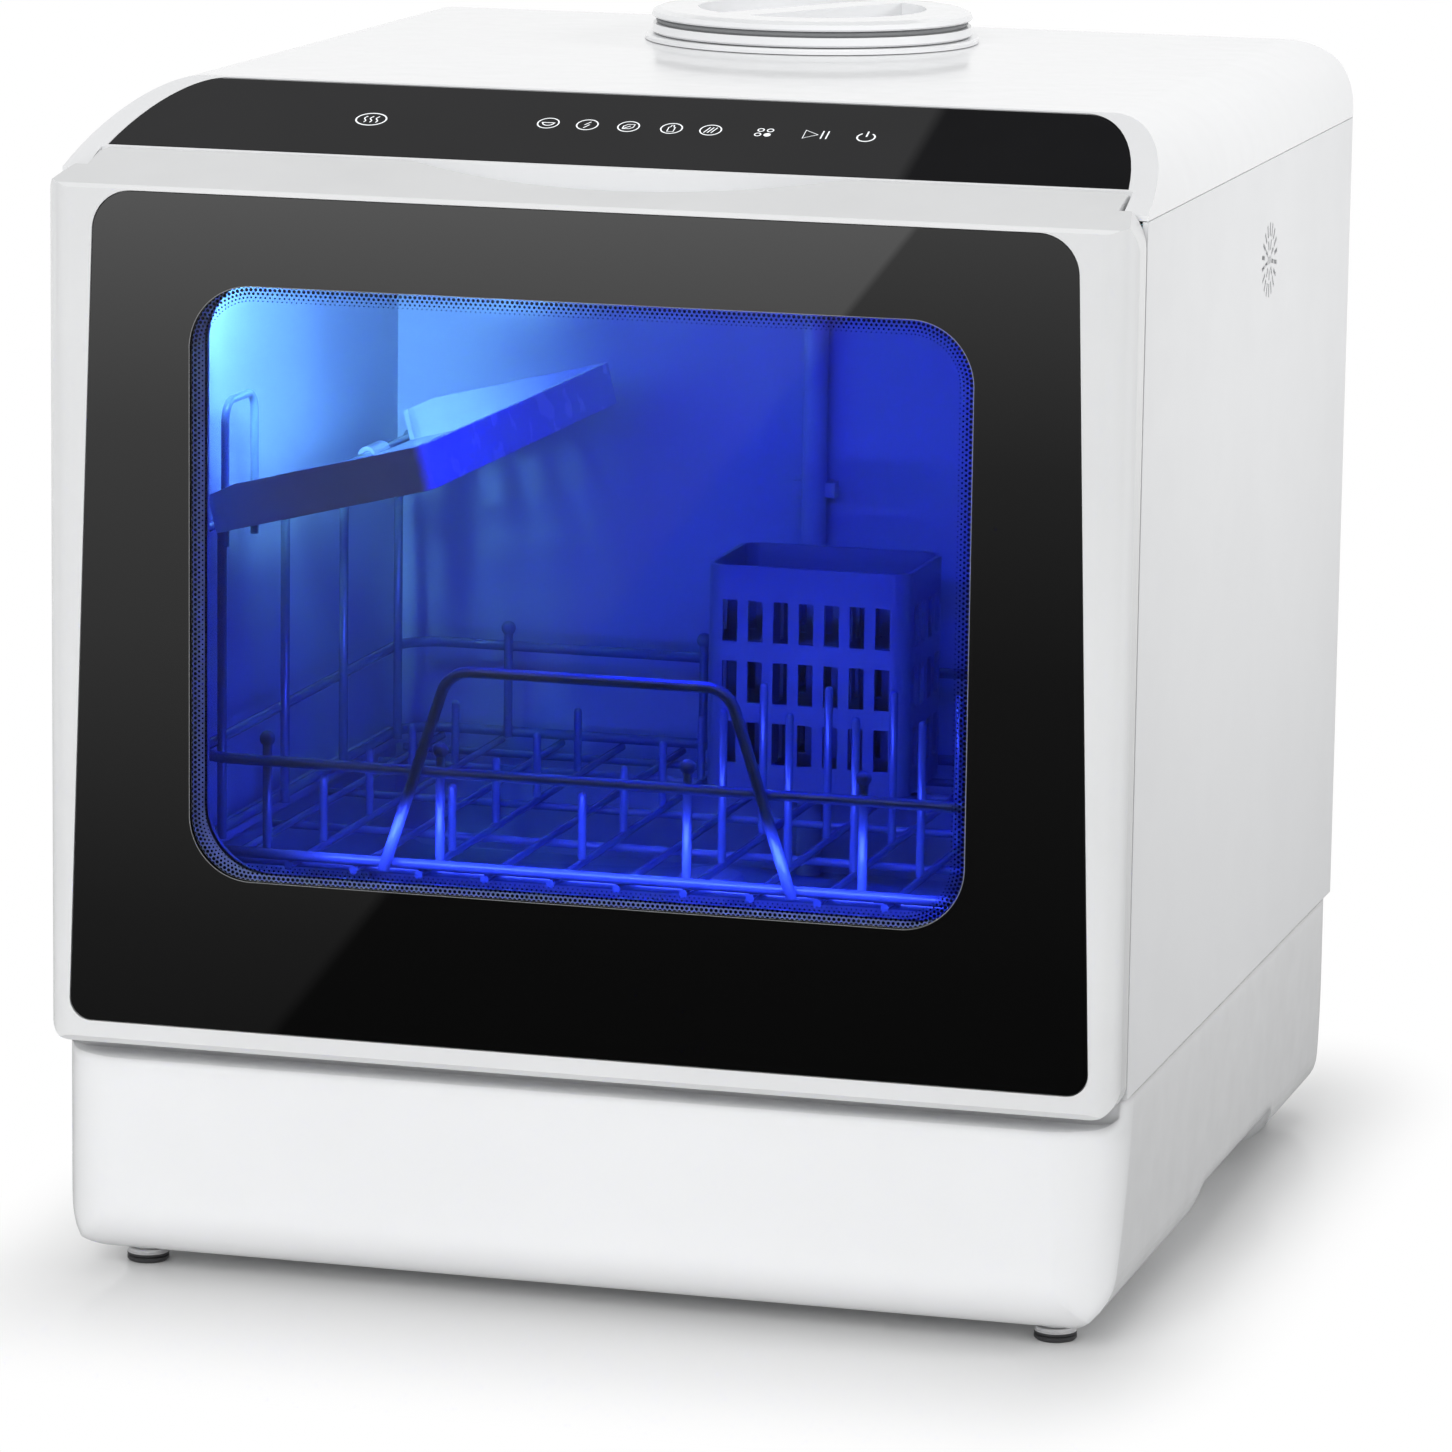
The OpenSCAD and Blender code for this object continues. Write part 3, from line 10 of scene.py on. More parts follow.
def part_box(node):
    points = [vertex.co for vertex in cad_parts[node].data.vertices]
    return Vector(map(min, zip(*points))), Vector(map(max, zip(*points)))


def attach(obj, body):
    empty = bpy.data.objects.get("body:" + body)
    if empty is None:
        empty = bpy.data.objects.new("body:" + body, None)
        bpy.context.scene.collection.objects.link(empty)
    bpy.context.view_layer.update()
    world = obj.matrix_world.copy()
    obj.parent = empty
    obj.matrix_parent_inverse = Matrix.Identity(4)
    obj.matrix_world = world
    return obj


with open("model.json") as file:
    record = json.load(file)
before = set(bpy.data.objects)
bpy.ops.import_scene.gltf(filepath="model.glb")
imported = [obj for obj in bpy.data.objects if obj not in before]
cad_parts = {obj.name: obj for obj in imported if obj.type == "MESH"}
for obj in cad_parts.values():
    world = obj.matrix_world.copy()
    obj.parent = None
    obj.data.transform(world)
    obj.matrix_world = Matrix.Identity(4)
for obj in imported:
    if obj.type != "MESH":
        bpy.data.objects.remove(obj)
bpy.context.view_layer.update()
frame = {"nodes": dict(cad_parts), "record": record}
MM = 0.001


def box_mm(node):
    """The lowest and the highest corner of a CAD node, in millimetres."""
    lo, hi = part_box(node)
    return [c / MM for c in lo], [c / MM for c in hi]


# the clear window in the door: the gasket round it reaches a lip's width past its edge
GASKET_LIP = 3.2
gasket_lo, gasket_hi = box_mm("window_gasket")
WINDOW_R = 24.0
WINDOW_Z = (gasket_lo[2] + gasket_hi[2]) / 2
# the middles of the window's corner arcs, measured from its own middle
CORNER_X = (gasket_hi[0] - gasket_lo[0]) / 2 - GASKET_LIP - WINDOW_R
CORNER_Z = (gasket_hi[2] - gasket_lo[2]) / 2 - GASKET_LIP - WINDOW_R


# ---------------------------------------------------------------- node helpers
class Nodes:
    """Short ways to add nodes to a shader tree."""

    def __init__(self, tree):
        self.tree = tree
        self._place = None

    def add(self, kind, **props):
        n = self.tree.nodes.new(kind)
        for key, value in props.items():
            setattr(n, key, value)
        return n

    def link(self, a, b):
        self.tree.links.new(a, b)

    def place(self):
        if self._place is None:
            self._place = self.add("ShaderNodeTexCoord").outputs["Object"]
        return self._place

    def stretch(self, scale):
        n = self.add("ShaderNodeMapping")
        n.inputs["Scale"].default_value = scale
        self.link(self.place(), n.inputs["Vector"])
        return n.outputs["Vector"]

    def noise(self, size, detail=2.0, rough=0.5, vector=None):
        """Noise with features of about size metres."""
        n = self.add("ShaderNodeTexNoise")
        n.inputs["Scale"].default_value = 1.0 / size
        n.inputs["Detail"].default_value = detail
        n.inputs["Roughness"].default_value = rough
        self.link(vector or self.place(), n.inputs["Vector"])
        return n.outputs["Fac"]

    def span(self, fac, low, high, a=0.3, b=0.7):
        """low where fac is a, high where it is b, and even between them."""
        n = self.add("ShaderNodeMapRange")
        for key, value in (("From Min", a), ("From Max", b), ("To Min", low), ("To Max", high)):
            n.inputs[key].default_value = value
        self.link(fac, n.inputs["Value"])
        return n.outputs["Result"]

    def ramp(self, fac, *stops):
        n = self.add("ShaderNodeValToRGB")
        e = n.color_ramp.elements
        while len(e) < len(stops):
            e.new(0.5)
        for item, (at, colour) in zip(e, stops):
            item.position, item.color = at, (*colour, 1)
        self.link(fac, n.inputs["Fac"])
        return n.outputs["Color"]

    def greys(self, fac, *stops):
        """A ramp of plain greys."""
        return self.ramp(fac, *((at, (level,) * 3) for at, level in stops))

    def math(self, op, a, b=None, clamp=False):
        n = self.add("ShaderNodeMath", operation=op, use_clamp=clamp)
        for slot, value in zip(n.inputs, (a, b)):
            if isinstance(value, (int, float)):
                slot.default_value = value
            elif value is not None:
                self.link(value, slot)
        return n.outputs[0]

    def xyz(self, vector):
        n = self.add("ShaderNodeSeparateXYZ")
        self.link(vector, n.inputs[0])
        return n.outputs["X"], n.outputs["Y"], n.outputs["Z"]

    def beyond(self, u, half, scale=1.0):
        """How far u lies outside -half to half, over scale, and never below 0."""
        over = self.math("SUBTRACT", self.math("ABSOLUTE", u), half)
        return self.math("DIVIDE", self.math("MAXIMUM", over, 0.0), scale)

    def length(self, a, b):
        squares = self.math("ADD", self.math("MULTIPLY", a, a), self.math("MULTIPLY", b, b))
        return self.math("SQRT", squares)

    def mix(self, fac, a, b):
        """The colour a where fac is 0 and b where it is 1."""
        n = self.add("ShaderNodeMix", data_type="RGBA")
        self.link(fac, n.inputs["Factor"])
        self.link(a, n.inputs[6])
        self.link(b, n.inputs[7])
        return n.outputs[2]

    def blend(self, fac, a, b):
        """The shader a where fac is 0 and b where it is 1."""
        n = self.add("ShaderNodeMixShader")
        if isinstance(fac, float):
            n.inputs[0].default_value = fac
        else:
            self.link(fac, n.inputs[0])
        self.link(a, n.inputs[1])
        self.link(b, n.inputs[2])
        return n.outputs[0]

    def shader(self, kind, colour=None, **values):
        """A shader node's output, with its colour linked and its other inputs set."""
        n = self.add(kind)
        if colour is not None:
            self.link(colour, n.inputs["Color"])
        for key, value in values.items():
            n.inputs[key].default_value = value
        return n.outputs[0]


class Graph(Nodes):
    """A material, new or made before, with its principled shader."""

    def __init__(self, material):
        if isinstance(material, str):
            material = bpy.data.materials.new(material)
            material.use_nodes = True
        super().__init__(material.node_tree)
        self.mat = material
        self.bsdf = self.tree.nodes["Principled BSDF"]

    def set(self, **values):
        for key, value in values.items():
            slot = self.bsdf.inputs[key.replace("_", " ")]
            slot.default_value = (*value, 1) if isinstance(value, tuple) else value

    def feed(self, name, value):
        self.link(value, self.bsdf.inputs[name])

    def bump(self, height, strength, depth, edge=0.0):
        """Relief of at most depth metres, and edges that shade as if rounded to the radius edge."""
        n = self.add("ShaderNodeBump")
        n.inputs["Strength"].default_value = strength
        n.inputs["Distance"].default_value = depth
        self.link(height, n.inputs["Height"])
        if edge:
            b = self.add("ShaderNodeBevel", samples=4)
            b.inputs["Radius"].default_value = edge
            self.link(b.outputs["Normal"], n.inputs["Normal"])
        self.feed("Normal", n.outputs["Normal"])

    def show(self, shader):
        """Put shader in place of the principled one. What glows in it isn't sampled as a lamp."""
        self.tree.nodes.remove(self.bsdf)
        self.link(shader, self.tree.nodes["Material Output"].inputs["Surface"])
        self.mat.cycles.emission_sampling = "NONE"
        return self.mat


def shade(colour, k):
    return tuple(min(1.0, c * k) for c in colour)


# ---------------------------------------------------------------- materials
def moulded(name, colour, rough, grain, relief, coat=0.0, edge=0.0, mottle=0.03, spec=0.5):
    """Moulded plastic: a slow drift of tone, a fine skin and a little roughness change."""
    drift, wear, skin_depth = 0.06, 0.018, 0.3 * MM
    g = Graph(name)
    darker, paler = shade(colour, 1 - mottle), shade(colour, 1 + mottle * 0.5)
    g.feed("Base Color", g.ramp(g.noise(drift, 3), (0.3, darker), (0.7, paler)))
    g.feed("Roughness", g.span(g.noise(wear, 4), rough * 0.88, rough * 1.12))
    g.set(Specular_IOR_Level=spec)
    if coat:
        g.set(Coat_Weight=coat, Coat_Roughness=0.06)
    g.bump(g.noise(grain * MM), relief, skin_depth, edge * MM)
    return g.mat


def two_shot(name, low, high, z):
    """A rubber sole under a harder rim, parted at height z."""
    blur = 0.1 * MM
    g = Graph(moulded(name, low, 0.6, 0.7, 0.25))
    rim = g.ramp(g.noise(0.01), (0.3, shade(high, 0.96)), (0.7, high))
    above = g.span(g.xyz(g.place())[2], 0.0, 1.0, z - blur, z + blur)
    sole = g.bsdf.inputs["Base Color"].links[0].from_socket
    g.feed("Base Color", g.mix(above, sole, rim))
    return g.mat


def brushed(name, colour, rough):
    """Metal with fine streaks."""
    spread, along = 0.12, (1, 1, 14)
    g = Graph(name)
    streak = g.noise(1.0 * MM, 4, 0.6, g.stretch(along))
    tones = (0.25, shade(colour, 1 - spread)), (0.75, shade(colour, 1 + spread))
    g.feed("Base Color", g.ramp(streak, *tones))
    g.feed("Roughness", g.span(streak, rough * 0.75, rough * 1.3))
    g.set(Metallic=1.0)
    g.bump(streak, 0.06, 0.15 * MM)
    return g.mat


def spangle(name):
    """Zinc plate with a faint crystal pattern."""
    crystals_per_metre = 220
    g = Graph(name)
    cells = g.add("ShaderNodeTexVoronoi")
    cells.inputs["Scale"].default_value = crystals_per_metre
    g.link(g.place(), cells.inputs["Vector"])
    tones = (0.2, (0.5, 0.51, 0.53)), (0.8, (0.66, 0.67, 0.69))
    g.feed("Base Color", g.ramp(cells.outputs["Color"], *tones))
    g.feed("Roughness", g.span(g.noise(0.004, 3), 0.3, 0.45))
    g.set(Metallic=1.0)
    g.bump(g.noise(0.0012), 0.05, 0.1 * MM)
    return g.mat


def glazing(name, tint, ior):
    """Clear or smoked plate glass, with the faintest waviness."""
    g = Graph(name)
    g.set(Base_Color=tint, Roughness=0.0, IOR=ior, Transmission_Weight=1.0)
    g.bump(g.noise(0.09, 1), 0.02, 0.05 * MM)
    return g.mat


def front_glazing(name, tint):
    """Door glass: a mirror-like face over the black print, and hardly any shine over the window."""
    blur = 0.2
    print_black = (0.001, 0.001, 0.001)
    g = Graph(glazing(name, tint, 1.18))
    x, _, z = g.xyz(g.place())
    z = g.math("SUBTRACT", z, WINDOW_Z * MM)
    out = g.length(g.beyond(x, CORNER_X * MM), g.beyond(z, CORNER_Z * MM))
    edge = (WINDOW_R - blur) * MM, (WINDOW_R + blur) * MM
    g.feed("Coat Weight", g.span(out, 0.05, 1.0, *edge))
    g.feed("Transmission Weight", g.span(out, 1.0, 0.0, *edge))
    g.feed("Base Color", g.ramp(g.span(out, 0.0, 1.0, *edge), (0.0, tint), (1.0, print_black)))
    g.set(Coat_IOR=2.0, Coat_Roughness=0.0)
    return g.mat


def board(name):
    """Solder mask with copper runs under it."""
    g = Graph(name)
    runs = g.add("ShaderNodeTexBrick")
    for key, value in (
        ("Scale", 160),
        ("Mortar Size", 0.03),
        ("Color1", (0.02, 0.16, 0.07, 1)),
        ("Color2", (0.03, 0.2, 0.09, 1)),
        ("Mortar", (0.06, 0.34, 0.16, 1)),
    ):
        runs.inputs[key].default_value = value
    g.link(g.place(), runs.inputs["Vector"])
    g.feed("Base Color", runs.outputs["Color"])
    g.feed("Roughness", g.span(g.noise(0.01), 0.28, 0.4))
    g.bump(runs.outputs["Fac"], 0.15, 0.1 * MM)
    return g.mat


def lens(name, colour, strength):
    """A frosted lens, lit from behind."""
    g = Graph(name)
    g.set(Base_Color=(0.75, 0.9, 1.0), Roughness=0.4, Emission_Strength=strength)
    g.feed("Emission Color", g.ramp(g.noise(0.005), (0.3, shade(colour, 0.75)), (0.7, colour)))
    g.bump(g.noise(0.0015), 0.15, 0.2 * MM)
    g.mat.cycles.emission_sampling = "NONE"
    return g.mat


def print_painted_glow(name):
    """Pale marks on the touch panel, with a faint painted glow that brightens them."""
    g = Graph(name)
    # the emission is a painted glow on the print
    g.set(Base_Color=(0.8, 0.82, 0.84), Roughness=0.4, Emission_Strength=0.5)
    glow = g.ramp(g.noise(0.002), (0.3, (0.75, 0.78, 0.8)), (0.7, (0.9, 0.92, 0.95)))
    g.feed("Emission Color", glow)
    return g.mat


WHITE = (0.87, 0.875, 0.885)
NEAR_BLACK = (0.035, 0.035, 0.038)
FOOT_SOLE_TOP = 3.4
# moulded takes roughness, grain in millimetres and relief after the colour
MATERIALS = {
    "white_shell": moulded("gloss_white", WHITE, 0.24, 1.6, 0.03, coat=0.35, mottle=0.012),
    "white_steel": moulded("powder_coat", (0.84, 0.845, 0.855), 0.36, 0.7, 0.10, edge=0.7, mottle=0.015),
    "zinc_steel": spangle("zinc_plate"),
    "stainless": brushed("brushed_stainless", (0.66, 0.67, 0.68), 0.28),
    "foot_white": moulded("foot_plastic", (0.78, 0.785, 0.79), 0.5, 0.8, 0.15, edge=0.4),
    "dark_rubber": moulded("dark_rubber", NEAR_BLACK, 0.72, 0.6, 0.3),
    "grey_rubber": moulded("seal_rubber", (0.30, 0.305, 0.315), 0.55, 0.7, 0.2),
    "panel_black": moulded("panel_gloss", (0.006, 0.006, 0.007), 0.015, 40, 0.005, spec=0.32, mottle=0.2),
    "board_green": board("solder_mask"),
    "tub_grey": moulded("tub_plastic", (0.46, 0.50, 0.56), 0.34, 1.4, 0.02, edge=0.8, mottle=0.015),
    "works_grey": moulded("works_plastic", (0.22, 0.235, 0.26), 0.5, 0.6, 0.2, edge=0.4),
    "white_plastic": moulded("white_moulding", (0.82, 0.825, 0.83), 0.4, 0.8, 0.12, edge=0.4),
    "clear_hose": moulded("milky_hose", (0.75, 0.78, 0.8), 0.35, 0.9, 0.1),
    "pipe_grey": moulded("pipe_plastic", (0.5, 0.52, 0.55), 0.42, 0.8, 0.1),
    "lamp_lens": lens("lamp_lens", (0.35, 0.75, 1.0), 6.0),
    "connector_grey": moulded("connector_plastic", (0.45, 0.46, 0.48), 0.45, 0.8, 0.12, edge=0.3),
    "black_plastic": moulded("black_moulding", (0.02, 0.02, 0.022), 0.42, 0.7, 0.15, edge=0.3),
    "front_glass": front_glazing("plate_glass", (0.93, 0.95, 0.98)),
    "print_black": moulded("ceramic_print", (0.003, 0.003, 0.004), 0.5, 40, 0.01, spec=0.0, mottle=0.2),
    "clear_glass": glazing("smoked_pane", (0.25, 0.28, 0.40), 1.15),
    # the rack's coated wire is darkened to a slate tone so that it reads dark against the lit tub: its
    # coating's colour with painted shade
    "rack_wire": moulded("coated_wire_painted_shade", (0.19, 0.245, 0.31), 0.22, 2.5, 0.06, coat=0.8, mottle=0.08),
    "shelf_grey": moulded("shelf_plastic", (0.66, 0.70, 0.80), 0.26, 1.0, 0.06, edge=0.6),
    "basket_grey": moulded("basket_plastic", (0.22, 0.25, 0.3), 0.32, 0.8, 0.1, edge=0.4),
    "arm_grey": moulded("arm_plastic", (0.33, 0.35, 0.39), 0.36, 0.8, 0.1, edge=0.4),
}
# nodes whose own finish differs from that of their slot
OWN = {
    # the door frame's white is darker than the shell's white: painted shade on the frame
    "door_frame": moulded("frame_white_painted_shade", (0.765, 0.77, 0.775), 0.24, 0.9, 0.02, coat=0.35, mottle=0.03),
    "cap_seal": moulded("cap_gasket", (0.22, 0.225, 0.23), 0.5, 0.7, 0.2),
    # the fan housing behind the vent is black so that the vent's slots read dark: painted shade
    "fan_housing": MATERIALS["black_plastic"],
    "base_housing": moulded("base_white", WHITE, 0.24, 1.6, 0.03, coat=0.35, edge=7.0, mottle=0.012),
    "control_board": MATERIALS["works_grey"],
    # the window gasket's colour is lightened and tinted blue: painted light from the tub's blue lamps
    "window_gasket": moulded("gasket_painted_blue_light", (0.26, 0.33, 0.50), 0.6, 0.7, 0.2),
    "foot_pads": two_shot("foot_sole", NEAR_BLACK, (0.62, 0.62, 0.63), FOOT_SOLE_TOP * MM),
}
for part in frame["record"]["subparts"]:
    data = frame["nodes"][part["node"]].data
    finish = OWN.get(part["node"], MATERIALS[part["material_slot"]])
    if not data.materials:
        data.materials.append(finish)
    for i in range(len(data.materials)):
        data.materials[i] = finish


# ---------------------------------------------------------------- piece helpers
def piece(name, verts, faces, material, body, smooth=False):
    """A mesh in millimetres that moves with a body."""
    mesh = bpy.data.meshes.new(name)
    mesh.from_pydata([[c * MM for c in v] for v in verts], [], faces)
    mesh.materials.append(material)
    mesh.update()
    if smooth:
        mesh.shade_smooth()
    ob = bpy.data.objects.new(name, mesh)
    bpy.context.scene.collection.objects.link(ob)
    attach(ob, body)


class Flat:
    """Flat marks collected in one mesh, drawn in a plane given by to_world(a, b)."""

    def __init__(self, to_world):
        self.to_world, self.verts, self.faces = to_world, [], []

    def fill(self, points):
        start = len(self.verts)
        self.verts += [self.to_world(*p) for p in points]
        self.faces.append(tuple(range(start, start + len(points))))

    def disc(self, x, y, r, n=20):
        angles = [k * math.tau / n for k in range(n)]
        self.fill([(x + r * math.cos(a), y + r * math.sin(a)) for a in angles])

    def line(self, points, width, closed=False):
        n = len(points)
        left, right = [], []
        for i, (x, y) in enumerate(points):
            ax, ay = points[(i - 1) % n] if closed or i else points[i]
            bx, by = points[(i + 1) % n] if closed or i < n - 1 else points[i]
            dx, dy = bx - ax, by - ay
            k = width / 2 / max(1e-9, math.hypot(dx, dy))
            left.append((x - dy * k, y + dx * k))
            right.append((x + dy * k, y - dx * k))
        for i in range(n if closed else n - 1):
            j = (i + 1) % n
            self.fill([left[i], right[i], right[j], left[j]])

    def sketch(self, x, y, points, width, closed=False):
        """A line through points that are measured from (x, y)."""
        self.line([(x + dx, y + dy) for dx, dy in points], width, closed)

    def ring(self, x, y, rx, width, ry=None, start=0, end=360, n=40):
        """A circle, an ellipse or an arc from start to end degrees, in n steps."""
        ry = ry or rx
        whole = end - start >= 360
        count = n if whole else n + 1
        angles = [math.radians(start + (end - start) * k / n) for k in range(count)]
        self.line([(x + rx * math.cos(a), y + ry * math.sin(a)) for a in angles], width, whole)


# ---------------------------------------------------------------- marks on the sloped panel
# the panel's slope: how far it runs back and how far it drops from the roof to its front edge
SLOPE_RUN, SLOPE_DROP = 56.6, 22.0
SLOPE_LENGTH = math.hypot(SLOPE_RUN, SLOPE_DROP)
SLOPE_SET_BACK = 38.4
SLOPE_Y = box_mm("door_frame")[0][1] + SLOPE_SET_BACK
SLOPE_Z = box_mm("top_cover")[1][2] - SLOPE_DROP
MARK_LIFT = 0.19
STROKE = 0.62
HEAT_X, HEAT_ROW, ROW = -100.3, 30.0, 33.0


def on_panel(x, s):
    """The place on the panel at x across and s up its slope."""
    y = SLOPE_Y + (s * SLOPE_RUN - MARK_LIFT * SLOPE_DROP) / SLOPE_LENGTH
    z = SLOPE_Z + (s * SLOPE_DROP + MARK_LIFT * SLOPE_RUN) / SLOPE_LENGTH
    return (x, y, z)


def heat(f, x, y):
    f.ring(x, y, 5.8, STROKE, ry=4.8)
    wave = [(0.5 * math.sin(k * 0.9), k * 0.6 - 2.4) for k in range(9)]
    for dx in (-2.3, 0, 2.3):
        f.sketch(x + dx, y, wave, STROKE * 0.8)


def bowl(f, x, y):
    f.sketch(x, y + 0.4, [(-2.6, 0), (2.6, 0)], STROKE * 0.8)
    f.ring(x, y + 0.4, 2.2, STROKE * 0.8, start=180, end=360, n=14)


def bolt(f, x, y):
    f.sketch(x, y, [(0.9, 2.4), (-1.1, -0.1), (0.9, 0.2), (-0.9, -2.5)], STROKE * 0.8)


def leaf(f, x, y):
    stalk = (-2.0, -1.8)
    rim = [stalk, (-1.9, 0.4), (-0.6, 1.7), (2.1, 1.9), (1.9, -0.5), (0.6, -1.7), stalk]
    f.sketch(x, y, rim, STROKE * 0.7)
    f.sketch(x, y, [stalk, (0.7, 0.5)], STROKE * 0.7)


def bottle(f, x, y):
    left = [(-1.2, -2.5), (-1.2, 0.8), (-0.5, 1.5), (-0.5, 2.6)]
    f.sketch(x, y, left + [(-dx, dy) for dx, dy in reversed(left)], STROKE * 0.7, closed=True)


def hatching(f, x, y):
    for dx in (-1.4, 0, 1.4):
        f.sketch(x + dx, y, [(-0.8, -2.2), (0.8, 2.2)], STROKE * 0.75)


def mode(f, x, y):
    for dx, dy in ((-1.7, 1.8), (1.9, 1.8), (-2.1, -1.8)):
        f.ring(x + dx, y + dy, 1.15, STROKE * 0.8, n=18)
    f.disc(x + 1.5, y - 1.8, 1.35)


def start_pause(f, x, y):
    f.sketch(x, y, [(-4.2, -3.2), (-4.2, 3.2), (1.0, 0)], STROKE * 0.9, closed=True)
    for dx in (2.6, 4.6):
        f.sketch(x + dx, y, [(0, -3.1), (0, 3.1)], STROKE * 0.9)


def power(f, x, y):
    f.ring(x, y - 0.4, 3.3, STROKE, start=-235, end=55, n=30)
    f.sketch(x, y, [(0, 0), (0, 4.2)], STROKE)


PROGRAMMES = ((-32.2, bowl), (-17.1, bolt), (-1.2, leaf), (15.3, bottle), (30.3, hatching))
COMMANDS = ((50.8, mode), (70.2, start_pause), (89.5, power))


def panel_marks():
    """Generic pictograms: heat, five programmes, mode, start and pause, power."""
    f = Flat(on_panel)
    heat(f, HEAT_X, HEAT_ROW)
    for x, _ in PROGRAMMES:
        f.ring(x, ROW, 4.0, STROKE * 0.85)
    for x, draw in PROGRAMMES + COMMANDS:
        draw(f, x, ROW)
    piece("panel_marks", f.verts, f.faces, print_painted_glow("print_painted_glow"), "cabinet")


# ---------------------------------------------------------------- halftone edge of the window
DOT_PITCH = 1.86
DOT_LIFT = 0.015
DOT_SIDES = 8
# each row's inset from the window's edge and the radius of its dots
DOT_ROWS = ((-0.1, 0.78), (1.45, 0.66), (2.9, 0.52), (4.3, 0.38), (5.6, 0.25))


def dot_edge():
    """Rows of print dots that shrink towards the window's middle, every other one shifted."""
    plane_y = box_mm("door_glass")[1][1] + DOT_LIFT
    f = Flat(lambda x, z: (x, plane_y, WINDOW_Z + z))
    across, up = round(2 * CORNER_X / DOT_PITCH), round(2 * CORNER_Z / DOT_PITCH)
    in_corner = round(WINDOW_R * math.pi / 2 / DOT_PITCH)
    corners = [(CORNER_X, CORNER_Z), (-CORNER_X, CORNER_Z), (-CORNER_X, -CORNER_Z), (CORNER_X, -CORNER_Z)]
    for row, (inset, size) in enumerate(DOT_ROWS):
        shift = 0.5 * (row % 2)
        r = WINDOW_R - inset
        for c, (cx, cz) in enumerate(corners):
            for k in range(in_corner):
                t = math.radians(90 * c + 90 * (k + shift) / in_corner)
                f.disc(cx + r * math.cos(t), cz + r * math.sin(t), size, DOT_SIDES)
            next_x, next_z = corners[(c + 1) % 4]
            t = math.radians(90 * c + 90)
            count = up if c % 2 else across
            for k in range(count):
                m = (k + shift) / count
                x, z = cx + (next_x - cx) * m, cz + (next_z - cz) * m
                f.disc(x + r * math.cos(t), z + r * math.sin(t), size, DOT_SIDES)
    piece("glass_dots", f.verts, f.faces, MATERIALS["print_black"], "door")


# ---------------------------------------------------------------- hose thread
THREAD_TURNS, THREAD_PITCH, THREAD_SIDES = 5, 2.3, 48
# how far the thread starts before the mount's place, and how far under the pipe's face
THREAD_START, THREAD_SINK = 5.4, 0.05
# the thread's half width and its height, at its foot and at its crest
FOOT_HALF, FOOT_DIP = 0.8, 0.1
CREST_HALF, CREST_RISE = 0.2, 0.75
RUN_OUT_STEPS = 12


def inlet_thread():
    """The hose thread round the free end of the water inlet."""
    mount = next(m for m in frame["record"]["mounts"] if m["name"] == "water_inlet")
    x0, y0, z0 = (c / MM for c in mount["pos_m"])
    r = mount["dims"]["r_mm"] - THREAD_SINK
    steps = THREAD_TURNS * THREAD_SIDES
    verts, faces = [], []
    for k in range(steps + 1):
        a = math.tau * k / THREAD_SIDES
        rise = CREST_RISE * min(1, k / RUN_OUT_STEPS, (steps - k) / RUN_OUT_STEPS)
        y = y0 - THREAD_START + THREAD_PITCH * k / THREAD_SIDES
        ridge = (-FOOT_HALF, -FOOT_DIP), (-CREST_HALF, rise), (CREST_HALF, rise), (FOOT_HALF, -FOOT_DIP)
        for dy, dr in ridge:
            verts.append((x0 + (r + dr) * math.cos(a), y + dy, z0 + (r + dr) * math.sin(a)))
        if k:
            b = 4 * k
            faces += [(b - 4 + i, b + i, b + i + 1, b - 3 + i) for i in range(3)]
    piece("inlet_thread", verts, faces, MATERIALS["white_plastic"], "cabinet", smooth=True)


panel_marks()
dot_edge()
inlet_thread()


# ---------------------------------------------------------------- stage, in metres
FLOOR_REACH = 14
# the floor round the machine that shows its own grey, and how fast it fades to white beyond
GREY_HALF = 0.185
FADE_X, FADE_Y = 0.08, 0.17
CARD_X, CARD_Y, CARD_Z = (-1.6, 1.4), (0.25, 1.5), 1.5
# a point on the edge between the card's tones, and how far the edge leans to +X for each metre of Y
CARD_EDGE_X, CARD_EDGE_Y, CARD_LEAN = -0.275, 0.64, 0.24
EDGE_BLUR = 0.004


def plane(name, xs, ys, z, material):
    """A level sheet that belongs to the stage."""
    points = [(xs[0], ys[0], z), (xs[1], ys[0], z), (xs[1], ys[1], z), (xs[0], ys[1], z)]
    mesh = bpy.data.meshes.new(name)
    mesh.from_pydata(points, [], [(0, 1, 2, 3)])
    mesh.materials.append(material)
    ob = bpy.data.objects.new(name, mesh)
    bpy.context.scene.collection.objects.link(ob)
    return ob


def satin(g):
    """Pale paint with a soft gloss."""
    shine, haze = 0.13, 0.09
    tone = g.greys(g.noise(0.4), (0.3, 0.80), (0.7, 0.82))
    matt = g.shader("ShaderNodeBsdfDiffuse", tone)
    gloss = g.shader("ShaderNodeBsdfGlossy", Color=(0.95, 0.95, 0.95, 1), Roughness=haze)
    return g.blend(shine, matt, gloss)


